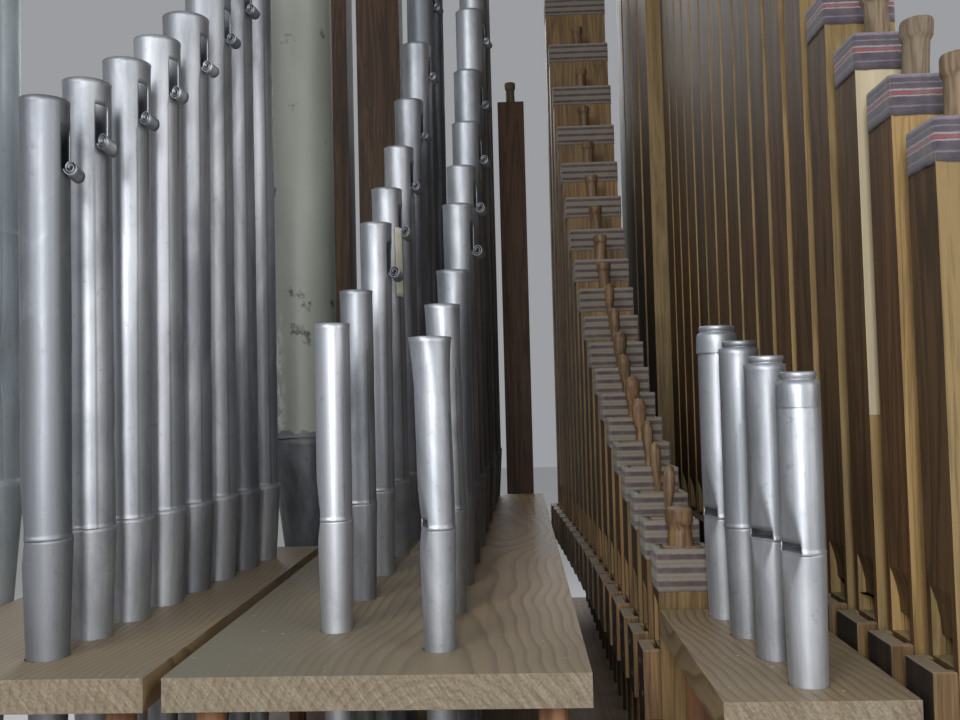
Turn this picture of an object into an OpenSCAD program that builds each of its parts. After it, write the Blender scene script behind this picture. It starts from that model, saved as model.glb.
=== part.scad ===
// Windchest of a pipe organ with its ranks of pipes, on a timber building frame.
// X runs across the chest, Y along it from the treble end to the bass end, Z up.
// The origin is on the floor, under the middle of the chest. Millimetres.

/* [Chest] */
// Distance between neighbouring channels, and so between neighbouring pipes of a rank
pitch = 52; // [50:1:54]
// Width of the chest across the ranks
chest_w = 860; // [860:5:900]
// Height of the top of the rack boards above the floor
rack_top = 950; // [900:10:1000]
// Height of the rack boards' tops above the upperboards
rack_lift = 200; // [195:1:215]
// Thickness of the rack boards
rack_t = 20; // [18:1:24]
// Thickness of the upperboards that the pipes stand on
upper_t = 25; // [22:1:30]
// Thickness of the sliders and of the bearers between them
slider_t = 8; // [6:1:10]
// Thickness of the table under the sliders
table_t = 12; // [10:1:16]
// Height of the grid of channels
grid_h = 60; // [50:1:80]
// Inside height of the pallet box
box_h = 110; // [100:5:130]
// Thickness of the pallet box's boards
box_t = 20; // [18:1:26]
// Bore of the wind inlet in the bass end of the pallet box
inlet_d = 80; // [60:5:90]

/* [Building frame] */
// Side of the square legs
leg_a = 70; // [60:1:80]
// Height of the rails
rail_h = 90; // [70:5:100]
// Thickness of the rails
rail_t = 40; // [30:1:45]
// Height of the lower rails' undersides above the floor
low_rail_z = 80; // [60:5:100]

/* [Ranks] */
// Length ratio of neighbouring pipes, which are a whole tone apart
tone = 1.1225; // [1.118:0.0005:1.126]
// Pipes of the left metal rank
left_n = 8; // [5:1:9]
// Pipes of the middle metal rank
middle_n = 19; // [8:1:19]
// Pipes of the stopped metal treble
treble_n = 4; // [4:1:4]
// Pipes of the small wooden rank
small_n = 19; // [8:1:19]
// Pipes of the tall wooden rank
tall_n = 16; // [8:1:16]

/* [Metal pipes] */
// Thickness of the pipe metal
metal_t = 1; // [0.8:0.1:1.3]
// Outside radius of a metal foot at its tip
tip_r = 6; // [5:0.5:7]
// Bore of a metal foot at its tip, as a radius
tip_bore = 3; // [2:0.5:3.5]
// Depth that a toe sits in its upperboard
toe_seat = 6; // [5:0.5:9]
// Room around a foot where it goes through a board
foot_room = 0.3; // [0.2:0.1:0.6]
// How deep the lips are pressed in, as a part of the radius
lip_depth = 0.3; // [0.24:0.02:0.36]
// Height of a mouth, as a part of the radius
cut_up = 0.42; // [0.36:0.02:0.5]
// Height of the pressed upper lip, as a part of the radius
leaf_up = 2.4; // [2:0.1:2.8]
// Height of the pressed lower lip, as a part of the radius
leaf_down = 1.7; // [1.4:0.1:2]
// Thickness of the languid in the mouth
languid_t = 2.5; // [2:0.5:3]
// Height of the tuning slot
slot_h = 30; // [24:1:34]
// Width of the tuning slot
slot_w = 10; // [8:0.5:11]
// Depth of the tuning slot's top below the rim
slot_drop = 18; // [14:1:24]
// Outside radius of the rolled tongue in the slot
scroll_r = 4.2; // [3.6:0.1:4.4]

/* [Wooden pipes] */
// Thickness of the pipe boards
wood_t = 6; // [5:0.5:7]
// Height of the block at the foot of a small wooden pipe
small_block = 52; // [44:1:56]
// Height of the block at the foot of a tall wooden pipe
tall_block = 90; // [80:1:100]
// Thickness of the cap in front of the block
cap_t = 13; // [10:1:15]
// Height of a wooden mouth
wood_mouth = 11; // [9:1:14]
// Radius of the hollow cut above a wooden mouth
scoop_r = 70; // [55:5:90]
// Width left standing on each side of a wooden mouth
cheek = 5; // [4:0.5:6]
// Outside radius of a turned wooden foot
foot_r = 9; // [8:0.5:10]
// Bore of a wooden foot, as a radius
foot_bore = 4.5; // [3.5:0.5:5.5]
// Thickness of the cloth around a pipe's top
cloth_t = 1; // [0.8:0.1:1.4]
// Depth that a stopper reaches into its pipe
stopper_h = 45; // [35:1:55]
// Width limit of a wooden pipe along the rank
wood_w_max = 44; // [40:1:45]
// Length that the open mouth adds to a stopped pipe's note
mouth_adds = 46; // [40:1:48]
// Height of the handle on a small pipe's stopper
small_handle = 43; // [38:1:46]
// Height of the handle on a tall pipe's stopper
tall_handle = 38; // [34:1:42]

/* [Hidden] */
$fn = 48;
eps = 0.01;
upper_top = rack_top - rack_lift;
slider_top = upper_top - upper_t;
table_top = slider_top - slider_t;
grid_top = table_top - table_t;
box_top = grid_top - grid_h;
box_floor = box_top - box_h;
frame_top = box_floor - box_t;
chest_l = 22 * pitch + 96;
y_front = -chest_l / 2;
y_rear = chest_l / 2;
x_left = -chest_w / 2;
x_right = chest_w / 2;

// Each stop is a strip of the chest: [left edge, right edge] of its upperboard.
stops = [[x_left + 5, -160], [-150, 100], [110, 245], [255, x_right - 25]];
slider_x = [-235, -28, 190, 308];
slider_w = 90;

// Rack boards: [left edge, right edge, treble end, bass end].
board_y = y_front + 95;
left_y = board_y + 50;
middle_y = board_y + 56;
treble_y = y_front + 70;
small_y = treble_y + (treble_n - 1) * pitch + 29;
tall_y = y_front + 35;
rear_y = y_rear - 50;
left_board = [-361, -161, board_y, left_y + (left_n - 1) * pitch + 74];
middle_board = [-150, 100, board_y, middle_y + (middle_n - 1) * pitch + 18];
treble_board = [162, 262, y_front + 40, treble_y + (treble_n - 1) * pitch + 24];
boards = [left_board, middle_board, treble_board];

// Each rank starts from its first pipe, at the treble end: where it stands across the chest, its
// radius or depth, its speaking length and how high its mouth is above the rack boards.
left_x = -243;
left_drift = 4.6;
left_r = 15.6;
left_len = 283;
left_mouth = 76;
middle_x = [8, -68];
middle_r = 11.9;
middle_len = 121;
middle_mouth = 77;
treble_x = 214;
treble_drift = -3.2;
treble_r = 11.85;
treble_len = 92;
treble_mouth = 71;
small_x = 182;
small_depth = 40;
small_len = 118;
small_mouth = -30;
tall_front = 278;
tall_depth = 42;
tall_len = 326;
tall_mouth = 16;
rear_mouth = -50;

// A slotted pipe runs on above the point where its slot ends its note.
slot_adds = 30;
function has_slot(k, first) = k >= first;
middle_slots = 5;

// A metal pipe is [x, y, radius, speaking length, height of its mouth above the rack board].
left_rank = [for (k = [0:left_n - 1])
    [left_x + left_drift * k, left_y + k * pitch, left_r * pow(1.062, k), left_len * pow(1.106, k),
     left_mouth]];
middle_rank = [for (k = [0:middle_n - 1])
    [middle_x[k % 2], middle_y + k * pitch, middle_r * pow(1.042, k),
     middle_len * pow(tone, k) + (has_slot(k, middle_slots) ? slot_adds : 0), middle_mouth]];
treble_rank = [for (k = [0:treble_n - 1])
    [treble_x + treble_drift * k, treble_y + k * pitch, treble_r * pow(1.04, k),
     treble_len * pow(1.12, k), treble_mouth]];
zinc_bass = [[-390, board_y + 225, 32, 1420, 100], [-218, left_board[3] + 168, 46.5, 1760, 116]];

// A wooden pipe is [x of its middle, y of its treble face, depth across the chest,
// width along the chest, height of its block's top, speaking length, block height].
function width_for(depth) = min(0.8 * depth, wood_w_max);
small_rank = [for (k = [0:small_n - 1]) let (d = small_depth * pow(1.055, k))
    [small_x, small_y + k * pitch, d, width_for(d), rack_top + small_mouth,
     small_len * pow(tone, k) - mouth_adds, small_block]];
tall_rank = [for (k = [0:tall_n - 1]) let (d = tall_depth * pow(1.042, k))
    [tall_front + d / 2, tall_y + k * pitch, d, width_for(d), rack_top + tall_mouth,
     tall_len * pow(tone, k) - mouth_adds, tall_block]];

// The largest wooden pipes stand at the bass end: [x, y of their middle, depth, length].
rear_spec = [[-265, rear_y, 84, 1700], [-168, rear_y, 76, 1560], [63, rear_y, 46, 730],
    [310, 300, 100, 1860], [310, 392, 100, 1880], [310, 484, 100, 1850], [310, 576, 100, 1870]];
rear_rank = [for (s = rear_spec)
    [s[0], s[1] - 0.375 * s[2], s[2], 0.75 * s[2], rack_top + rear_mouth, s[3], tall_block]];

// Building frame

leg_x = chest_w / 2 - leg_a / 2;
leg_ys = [y_front + leg_a / 2, 0, y_rear - leg_a / 2];

module frame_legs() color("sienna")
    for (x = [-leg_x, leg_x], y = leg_ys)
        translate([x - leg_a / 2, y - leg_a / 2, 0]) cube([leg_a, leg_a, frame_top]);

// Rails between the legs along the chest, one high and one low on each side.
module frame_long_rails() color("sienna")
    for (x = [-leg_x, leg_x], i = [0, 1], z = [low_rail_z, frame_top - rail_h])
        translate([x - rail_t / 2, leg_ys[i] + leg_a / 2, z])
            cube([rail_t, leg_ys[i + 1] - leg_ys[i] - leg_a, rail_h]);

module frame_cross_rails() color("sienna")
    for (y = leg_ys, z = [low_rail_z, frame_top - rail_h])
        translate([-leg_x + leg_a / 2, y - rail_t / 2, z])
            cube([2 * leg_x - leg_a, rail_t, rail_h]);

// Pallet box

module pallet_box_floor() color("peru")
    translate([x_left, y_front, frame_top]) cube([chest_w, chest_l, box_t]);

module pallet_box_sides() color("peru")
    for (x = [x_left, x_right - box_t])
        translate([x, y_front, box_floor]) cube([box_t, chest_l, box_h]);

module end_board() cube([chest_w - 2 * box_t, box_t, box_h]);

module treble_end_board() color("peru")
    translate([x_left + box_t, y_front, box_floor]) end_board();

// The bass end board has the bore that the wind trunk enters by.
module bass_end_board() color("peru")
    difference() {
        translate([x_left + box_t, y_rear - box_t, box_floor]) end_board();
        translate([0, y_rear + 1, box_floor + box_h / 2])
            rotate([90, 0, 0]) cylinder(d = inlet_d, h = box_t + 2);
    }

// Soundboard

bar_t = 12;
grid_edge = 30;
grid_n = floor((chest_l - 2 * grid_edge) / pitch);
grid_y = -grid_n * pitch / 2;

// The channels run across the chest, one to each note, closed by the table above.
module channel_grid() color("peru")
    difference() {
        translate([x_left, y_front, box_top]) cube([chest_w, chest_l, grid_h]);
        for (i = [0:grid_n - 1])
            translate([x_left + grid_edge, grid_y + i * pitch + bar_t / 2, box_top - 1])
                cube([chest_w - 2 * grid_edge, pitch - bar_t, grid_h + 2]);
    }

module toe_holes(z, h, r)
    for (p = all_toes) translate([p[0], p[1], z]) cylinder(r = r, h = h);

function wood_toes(rank) = [for (p = rank) [p[0], p[1] + p[3] / 2, foot_r, foot_bore]];
function metal_toes(rank) = [for (p = rank) [p[0], p[1], tip_r, tip_bore]];
all_toes = concat(metal_toes(left_rank), metal_toes(middle_rank), metal_toes(treble_rank),
    metal_toes(zinc_bass), wood_toes(small_rank), wood_toes(tall_rank), wood_toes(rear_rank));

module chest_table() color("burlywood")
    difference() {
        translate([x_left, y_front, grid_top]) cube([chest_w, chest_l, table_t]);
        toe_holes(grid_top - 1, table_t + 2, tip_bore);
    }

module sliders() color("tan")
    difference() {
        for (x = slider_x)
            translate([x - slider_w / 2, y_front, table_top])
                cube([slider_w, chest_l, slider_t]);
        toe_holes(table_top - 1, slider_t + 2, tip_bore);
    }

bearer_x = concat([x_left], [for (x = slider_x) x + slider_w / 2]);
bearer_end = concat([for (x = slider_x) x - slider_w / 2], [x_right]);

// The bearers fill the table between the sliders, a hair clear of them.
module slider_bearers() color("burlywood")
    for (i = [0:len(bearer_x) - 1])
        translate([bearer_x[i] + (i > 0 ? foot_room : 0), y_front, table_top])
            difference() {
                cube([bearer_end[i] - bearer_x[i] - (i > 0 ? foot_room : 0)
                    - (i < len(slider_x) ? foot_room : 0), chest_l, slider_t]);
                translate([-bearer_x[i] - (i > 0 ? foot_room : 0), -y_front, -table_top])
                    toe_holes(table_top - 1, slider_t + 2, tip_bore);
            }

// Each toe stands on the ledge of a counterbored hole.
module upperboards() color("tan")
    difference() {
        for (s = stops)
            translate([s[0], y_front, slider_top]) cube([s[1] - s[0], chest_l, upper_t]);
        for (p = all_toes) translate([p[0], p[1], 0]) {
            translate([0, 0, upper_top - toe_seat]) cylinder(r = p[2] + foot_room, h = toe_seat + 1);
            translate([0, 0, slider_top - 1]) cylinder(r = tip_bore, h = upper_t + 2);
        }
    }

// Rack boards

module rack_board(b, ranks) difference() {
    translate([b[0], b[2], rack_top - rack_t]) cube([b[1] - b[0], b[3] - b[2], rack_t]);
    for (p = ranks)
        translate([p[0], p[1], rack_top - rack_t - 1])
            cylinder(r = cone_r(p, rack_top) + foot_room, h = rack_t + 2);
}

module left_rack_board() color("tan") rack_board(left_board, left_rank);
module middle_rack_board() color("tan") rack_board(middle_board, middle_rank);
module treble_rack_board() color("tan") rack_board(treble_board, treble_rank);

pillar_r = 9;
pillar_in = 22;

module rack_pillars() color("peru")
    for (b = boards, x = [b[0] + pillar_in, b[1] - pillar_in],
         y = [b[2] + pillar_in, b[3] - pillar_in])
        translate([x, y, upper_top]) cylinder(r = pillar_r, h = rack_lift - rack_t);

// Metal pipes

function foot_h(p) = rack_lift + p[4] + toe_seat;
// Outside radius of a pipe's conical foot at height z.
function cone_r(p, z) = tip_r + (p[2] - tip_r) * (z - upper_top + toe_seat) / foot_h(p);

// A lip is pressed flat by a plane that leans inwards by d over the height h. The inside face of
// the metal is the same plane, one thickness further in.
module press_up(r, d, h, inset = 0) translate([-r, 0, h]) rotate([0, -atan(d / h), 0])
    translate([-3 * r, -2 * r, -norm([d, h]) - 0.05 * r]) cube([3 * r + inset, 4 * r, norm([d, h]) + r]);

module press_down(r, d, h, inset = 0) translate([-r, 0, -h]) rotate([0, atan(d / h), 0])
    translate([-3 * r, -2 * r, -r]) cube([3 * r + inset, 4 * r, norm([d, h]) + 2 * r]);

function lip_in(p) = lip_depth * p[2];
// Half of the chord across a pressed lip; the mouth is a little wider, the windway narrower.
function half_chord(p) = sqrt(pow(p[2], 2) - pow(p[2] - lip_in(p), 2));
function mouth_w(p) = 2.1 * half_chord(p);
function windway_w(p) = 1.6 * half_chord(p);

// Foot and languid are one soldered piece: a cone with a pressed lower lip and a windway.
module metal_foot(p) {
    r = p[2];
    h = foot_h(p);
    leaf = leaf_down * r;
    rl = r - (r - tip_r) * leaf / h;
    press = lip_in(p) - (r - rl);
    difference() {
        cylinder(r1 = tip_r, r2 = r, h = h);
        translate([0, 0, h]) press_down(rl, press, leaf);
        difference() {
            translate([0, 0, -eps]) cylinder(r1 = tip_bore, r2 = r - metal_t, h = h - languid_t);
            translate([0, 0, h]) press_down(rl, press, leaf, metal_t);
        }
        translate([-r + lip_in(p) + metal_t, -windway_w(p) / 2, h - languid_t - 1])
            cube([0.9, windway_w(p), languid_t + 2]);
    }
}

// An open tube with its mouth towards -X.
module metal_body(p) {
    r = p[2];
    mouth = cut_up * r;
    leaf = leaf_up * r;
    difference() {
        cylinder(r = r, h = p[3]);
        translate([0, 0, mouth]) press_up(r, lip_in(p), leaf);
        difference() {
            translate([0, 0, -1]) cylinder(r = r - metal_t, h = p[3] + 2);
            translate([0, 0, mouth]) press_up(r, lip_in(p), leaf, metal_t);
        }
        translate([-r - 1, -mouth_w(p) / 2, -1])
            cube([lip_in(p) + 2 * metal_t + 1, mouth_w(p), mouth + 1]);
    }
}

slot_turn = -18;

// The slot faces the player's right, with its tongue rolled down to its foot.
module slotted_body(p) difference() {
    metal_body(p);
    rotate([0, 0, slot_turn]) translate([0, -slot_w / 2, p[3] - slot_drop - slot_h])
        cube([p[2] + 1, slot_w, slot_h]);
}

scroll_t = 0.7;
scroll_step = 20;
scroll_end = 620;

function spiral(a, off) = let (r = scroll_r - scroll_t * 1.6 * a / 360 - off) [r * cos(a), r * sin(a)];

module scroll(p)
    translate([p[0], p[1], 0]) rotate([0, 0, slot_turn])
        translate([p[2] + scroll_r, slot_w / 2 - 0.5, body_z(p) + p[3] - slot_drop - slot_h + 1])
            rotate([90, 0, 0]) rotate([0, 0, 180]) linear_extrude(slot_w - 1)
                polygon(concat([for (a = [0:scroll_step:scroll_end]) spiral(a, 0)],
                    [for (a = [scroll_end:-scroll_step:0]) spiral(a, scroll_t)]));

function body_z(p) = rack_top + p[4];

module feet_of(rank) for (p = rank)
    translate([p[0], p[1], upper_top - toe_seat]) metal_foot(p);

module bodies_of(rank, first_slot) for (k = [0:len(rank) - 1]) {
    p = rank[k];
    translate([p[0], p[1], body_z(p)])
        if (has_slot(k, first_slot)) slotted_body(p); else metal_body(p);
}

module left_rank_feet() color("silver") feet_of(left_rank);
module left_rank_bodies() color("silver") bodies_of(left_rank, 0);
module left_rank_scrolls() color("gray") for (p = left_rank) scroll(p);
module middle_rank_feet() color("silver") feet_of(middle_rank);
module middle_rank_bodies() color("silver") bodies_of(middle_rank, middle_slots);
module middle_rank_scrolls() color("gray")
    for (k = [middle_slots:middle_n - 1]) scroll(middle_rank[k]);

module treble_feet() color("silver") feet_of(treble_rank);
module treble_bodies() color("silver") for (p = treble_rank)
    translate([p[0], p[1], body_z(p)]) metal_body(p);

canister_h = 14;
canister_t = 0.8;
rim_in = 1.2;
rim_h = 4;

// A canister stopper slides over each treble pipe's top, with a sloping shoulder under its rim.
module canister(r) rotate_extrude() polygon([[r, 0], [r + canister_t, 0],
    [r + canister_t, canister_h - canister_t / 2], [r - rim_in, canister_h + rim_in],
    [r - rim_in, canister_h + rim_in + rim_h], [0, canister_h + rim_in + rim_h],
    [0, canister_h], [r, canister_h]]);

module treble_caps() color("darkgray") for (p = treble_rank)
    translate([p[0], p[1], body_z(p) + p[3] - canister_h]) canister(p[2]);

module zinc_bass_feet() color("dimgray") feet_of(zinc_bass);
module zinc_bass_bodies() color("slategray") for (p = zinc_bass)
    translate([p[0], p[1], body_z(p)]) metal_body(p);

// Wooden pipes, each drawn about the middle of its section with its mouth towards -X.

module at_wood(p) translate([p[0], p[1] + p[3] / 2, 0]) children();

spigot = 20;

module wood_foot(p) {
    z0 = upper_top - toe_seat;
    z1 = p[4] - p[6];
    at_wood(p) translate([0, 0, z0]) difference() {
        cylinder(r = foot_r, h = z1 - z0 + spigot);
        translate([0, 0, -1]) cylinder(r = foot_bore, h = z1 - z0 + spigot + 2);
    }
}

module wood_block(p) at_wood(p) {
    a = p[2] / 2 - wood_t;
    b = p[3] / 2 - wood_t;
    translate([0, 0, p[4] - p[6]]) difference() {
        translate([-a, -b, 0]) cube([2 * a, 2 * b, p[6]]);
        translate([0, 0, -1]) cylinder(r = foot_r, h = spigot + 1);
        translate([0, 0, spigot - 1]) cylinder(r = foot_bore, h = 12);
        translate([-a - 1, -b + 2, spigot]) cube([a + 1, 2 * b - 4, 10]);
    }
}

// Four boards around the block, with the mouth and its hollow upper lip cut in the front one.
module wood_body(p) at_wood(p) {
    a = p[2] / 2;
    b = p[3] / 2;
    z0 = p[4] - p[6];
    z1 = p[4] + p[5];
    m = b - cheek;
    difference() {
        translate([-a, -b, z0]) cube([2 * a, 2 * b, z1 - z0]);
        translate([-a + wood_t, -b + wood_t, z0 - 1])
            cube([2 * (a - wood_t), 2 * (b - wood_t), z1 - z0 + 2]);
        translate([-a - 1, -m, p[4]]) cube([wood_t + 2, 2 * m, wood_mouth]);
        translate([-a - 1, -b + wood_t, z0 + spigot]) cube([wood_t + 2, 2 * (b - wood_t), 10]);
        intersection() {
            translate([-a - scoop_r + wood_t - 1, m, p[4] + wood_mouth])
                rotate([90, 0, 0]) cylinder(r = scoop_r, h = 2 * m);
            translate([-a - 1, -m, p[4] + wood_mouth - 1])
                cube([wood_t + 1, 2 * m, scoop_r]);
        }
    }
}

// The cap closes the front of the block and stands out as a ledge below the mouth.
module wood_cap(p) at_wood(p) {
    a = p[2] / 2;
    b = p[3] / 2;
    h = p[6] - 1;
    translate([-a - cap_t, -b, p[4] - p[6]]) difference() {
        cube([cap_t, 2 * b, h]);
        translate([cap_t - 3, wood_t, spigot]) cube([4, 2 * (b - wood_t), h - spigot + 1]);
    }
}

// The stopper is a block in the pipe's top with a turned handle.
module wood_stopper(p, head_r, neck_r, handle_h) at_wood(p) {
    a = p[2] / 2 - wood_t;
    b = p[3] / 2 - wood_t;
    top = p[4] + p[5];
    translate([-a, -b, top - stopper_h]) cube([2 * a, 2 * b, stopper_h + cloth_t]);
    translate([0, 0, top + cloth_t]) rotate_extrude() polygon([[0, -2], [neck_r, -2],
        [neck_r * 0.9, handle_h * 0.4], [head_r, handle_h * 0.72], [head_r, handle_h * 0.85],
        [head_r * 0.7, handle_h], [0, handle_h]]);
}

module wood_cloth(p, band) at_wood(p) {
    a = p[2] / 2;
    b = p[3] / 2;
    top = p[4] + p[5];
    difference() {
        translate([-a - cloth_t, -b - cloth_t, top - band])
            cube([2 * (a + cloth_t), 2 * (b + cloth_t), band + cloth_t]);
        translate([-a, -b, top - band - 1]) cube([2 * a, 2 * b, band + 1]);
        translate([-a + wood_t, -b + wood_t, top - 1])
            cube([2 * (a - wood_t), 2 * (b - wood_t), cloth_t + 2]);
    }
}

module small_wood_feet() color("saddlebrown") for (p = small_rank) wood_foot(p);
module small_wood_blocks() color("saddlebrown") for (p = small_rank) wood_block(p);
module small_wood_bodies() color("peru") for (p = small_rank) wood_body(p);
module small_wood_caps() color("saddlebrown") for (p = small_rank) wood_cap(p);
module small_wood_stoppers() color("chocolate") for (p = small_rank) wood_stopper(p, 5.5, 3.5, small_handle);
module small_wood_cloths() color("lightgray") for (p = small_rank) wood_cloth(p, 30);

module tall_wood_feet() color("saddlebrown") for (p = tall_rank) wood_foot(p);
module tall_wood_blocks() color("saddlebrown") for (p = tall_rank) wood_block(p);
module tall_wood_bodies() color("sienna") for (p = tall_rank) wood_body(p);
module tall_wood_caps() color("saddlebrown") for (p = tall_rank) wood_cap(p);
module tall_wood_stoppers() color("burlywood") for (p = tall_rank) wood_stopper(p, 9.7, 7.4, tall_handle);
module tall_wood_cloths() color("thistle") for (p = tall_rank) wood_cloth(p, 23);

module rear_wood_feet() color("saddlebrown") for (p = rear_rank) wood_foot(p);
module rear_wood_blocks() color("saddlebrown") for (p = rear_rank) wood_block(p);
module rear_wood_bodies() color("sienna") for (p = rear_rank) wood_body(p);
module rear_wood_caps() color("saddlebrown") for (p = rear_rank) wood_cap(p);
module rear_wood_stoppers() color("burlywood") for (p = rear_rank) wood_stopper(p, 9.7, 7.4, tall_handle);

frame_legs();
frame_long_rails();
frame_cross_rails();
pallet_box_floor();
pallet_box_sides();
treble_end_board();
bass_end_board();
channel_grid();
chest_table();
slider_bearers();
sliders();
upperboards();
rack_pillars();
left_rack_board();
middle_rack_board();
treble_rack_board();
left_rank_feet();
left_rank_bodies();
left_rank_scrolls();
middle_rank_feet();
middle_rank_bodies();
middle_rank_scrolls();
treble_feet();
treble_bodies();
treble_caps();
zinc_bass_feet();
zinc_bass_bodies();
small_wood_feet();
small_wood_blocks();
small_wood_bodies();
small_wood_caps();
small_wood_stoppers();
small_wood_cloths();
tall_wood_feet();
tall_wood_blocks();
tall_wood_bodies();
tall_wood_caps();
tall_wood_stoppers();
tall_wood_cloths();
rear_wood_feet();
rear_wood_blocks();
rear_wood_bodies();
rear_wood_caps();
rear_wood_stoppers();
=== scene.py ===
import bpy
import numpy as np
from mathutils import Matrix, Vector


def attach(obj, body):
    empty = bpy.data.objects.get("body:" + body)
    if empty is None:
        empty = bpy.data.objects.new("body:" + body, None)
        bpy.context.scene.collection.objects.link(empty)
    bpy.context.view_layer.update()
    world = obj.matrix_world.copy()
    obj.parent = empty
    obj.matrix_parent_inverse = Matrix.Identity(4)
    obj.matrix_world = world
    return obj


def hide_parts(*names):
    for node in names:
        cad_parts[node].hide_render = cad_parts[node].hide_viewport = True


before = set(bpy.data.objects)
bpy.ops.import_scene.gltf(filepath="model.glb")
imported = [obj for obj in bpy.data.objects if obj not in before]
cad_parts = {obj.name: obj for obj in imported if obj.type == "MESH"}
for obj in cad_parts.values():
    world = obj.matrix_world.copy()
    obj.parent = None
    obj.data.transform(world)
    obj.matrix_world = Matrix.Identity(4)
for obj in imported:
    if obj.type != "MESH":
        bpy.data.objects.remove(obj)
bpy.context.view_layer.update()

# %% [markdown]
# The camera stands at the treble end, a hand's breadth above the rack boards. A photograph
# fixes its own camera: lines that run along the chest meet in one pixel, and that pixel gives
# the direction; the boards' thickness gives the distance. The numbers below are that reading.
# A small roll is kept, because the picture was taken by hand.
# %% Camera
IMAGE_W, IMAGE_H = 960, 720
SENSOR_MM = 36.0
FOCAL_PX = 930.0
VANISHING_PX = (517.0, 399.0)  # where the lines along the chest meet
ROLL = np.radians(1.4)
EYE = Vector((0.061, -1.065, 1.107))


def aim_camera(eye, vanishing, focal, roll):
    """Matrix of a camera at eye whose +Y direction falls on the vanishing pixel."""
    dx = vanishing[0] - IMAGE_W / 2
    dy = IMAGE_H / 2 - vanishing[1]
    level = Vector((dx * np.cos(roll) + dy * np.sin(roll), -dx * np.sin(roll) + dy * np.cos(roll)))
    yaw = np.arctan2(level.x, focal)
    pitch = -np.arctan2(level.y, np.hypot(focal, level.x))
    forward = Vector((-np.sin(yaw) * np.cos(pitch), np.cos(yaw) * np.cos(pitch), np.sin(pitch)))
    right = forward.cross(Vector((0, 0, 1))).normalized()
    up = right.cross(forward)
    turned_right = right * np.cos(roll) - up * np.sin(roll)
    turned_up = up * np.cos(roll) + right * np.sin(roll)
    place = Matrix((turned_right, turned_up, -forward)).transposed().to_4x4()
    place.translation = eye
    return place


camera_data = bpy.data.cameras.new("tuners_eye")
camera_data.sensor_width = SENSOR_MM
camera_data.lens = FOCAL_PX / IMAGE_W * SENSOR_MM
camera_data.clip_start = 0.02
camera = bpy.data.objects.new("tuners_eye", camera_data)
bpy.context.scene.collection.objects.link(camera)
camera.matrix_world = aim_camera(EYE, VANISHING_PX, FOCAL_PX, ROLL)
bpy.context.scene.camera = camera
print("lens", round(camera_data.lens, 2), "mm")

# %% [markdown]
# Every rank is one frame node that holds many separate solids. To dress a pipe we need its own
# place and size, so the node's mesh is taken apart: corners at one place are merged, each
# triangle's corners take the lowest label among them, and that is repeated until the labels
# stand still. What shares a label is one solid, and its box gives its axis, radius and height.
# %% Take a node apart into its solids
MERGE_GRID = 5e-6
ROW_GRID = 0.01  # solids whose near sides are this close stand in one row


def node_triangles(name):
    """Corner positions and triangle corners of a frame node, with doubles merged."""
    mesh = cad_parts[name].data
    points = np.empty(len(mesh.vertices) * 3)
    mesh.vertices.foreach_get("co", points)
    points = points.reshape(-1, 3)
    mesh.calc_loop_triangles()
    corners = np.empty(len(mesh.loop_triangles) * 3, dtype=np.int64)
    mesh.loop_triangles.foreach_get("vertices", corners)
    grid = np.round(points / MERGE_GRID).astype(np.int64)
    _, first, merged = np.unique(grid, axis=0, return_index=True, return_inverse=True)
    return points[first], merged.reshape(-1)[corners].reshape(-1, 3)


def solid_labels(points, triangles):
    """One label for each point, equal within a solid."""
    label = np.arange(len(points))
    while True:
        low = label[triangles].min(axis=1)
        fresh = label.copy()
        np.minimum.at(fresh, triangles.reshape(-1), np.repeat(low, 3))
        fresh = fresh[fresh]
        if np.array_equal(fresh, label):
            return label
        label = fresh


def solid_boxes(name):
    """Lowest and highest corner of each solid of a node, from treble to bass."""
    points, triangles = node_triangles(name)
    label = solid_labels(points, triangles)
    boxes = [
        np.array([points[label == one].min(axis=0), points[label == one].max(axis=0)])
        for one in np.unique(label)
    ]
    return sorted(boxes, key=lambda b: (round(b[0][1] / ROW_GRID), b[0][0]))


def plan(box):
    """A box seen from above: its middle, and half its width and half its depth."""
    (x0, y0, _), (x1, y1, _) = box
    return (x0 + x1) / 2, (y0 + y1) / 2, (x1 - x0) / 2, (y1 - y0) / 2


print("pipes in the middle metal rank:", len(solid_boxes("middle_rank_bodies")))

# %% [markdown]
# Nothing in an old organ is quite regular. Unevenness here is a sum of a few sines, and each
# helper takes a seed, so that a pipe keeps its own dents and lean on every run. A surface is a
# grid of points whose quads can be left out one by one, and a patchwork gathers the surfaces of
# a whole rank into one mesh.
# %% Mesh and noise helpers


def waves(seed, u, v, amount, terms=5):
    """A smooth uneven value over (u, v): a few sines with seeded directions and phases."""
    rng = np.random.default_rng(seed)
    total = np.zeros(np.broadcast(u, v).shape)
    for _ in range(terms):
        around, along, phase = rng.integers(1, 5), rng.uniform(0.5, 4.0), rng.uniform(0, 6.28)
        total = total + rng.uniform(0.3, 1.0) * np.sin(around * u + along * v + phase)
    return amount * total / terms


def grid_faces(rows, cols, wrap, keep=None):
    """Quads of a rows by cols grid of points; wrap joins the last column to the first."""
    r, c = np.meshgrid(np.arange(rows - 1), np.arange(cols if wrap else cols - 1), indexing="ij")
    nxt = (c + 1) % cols
    quads = np.stack([r * cols + c, r * cols + nxt, (r + 1) * cols + nxt, (r + 1) * cols + c], -1)
    quads = quads.reshape(-1, 4)
    return quads if keep is None else quads[keep[: rows - 1].reshape(-1)]


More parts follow.
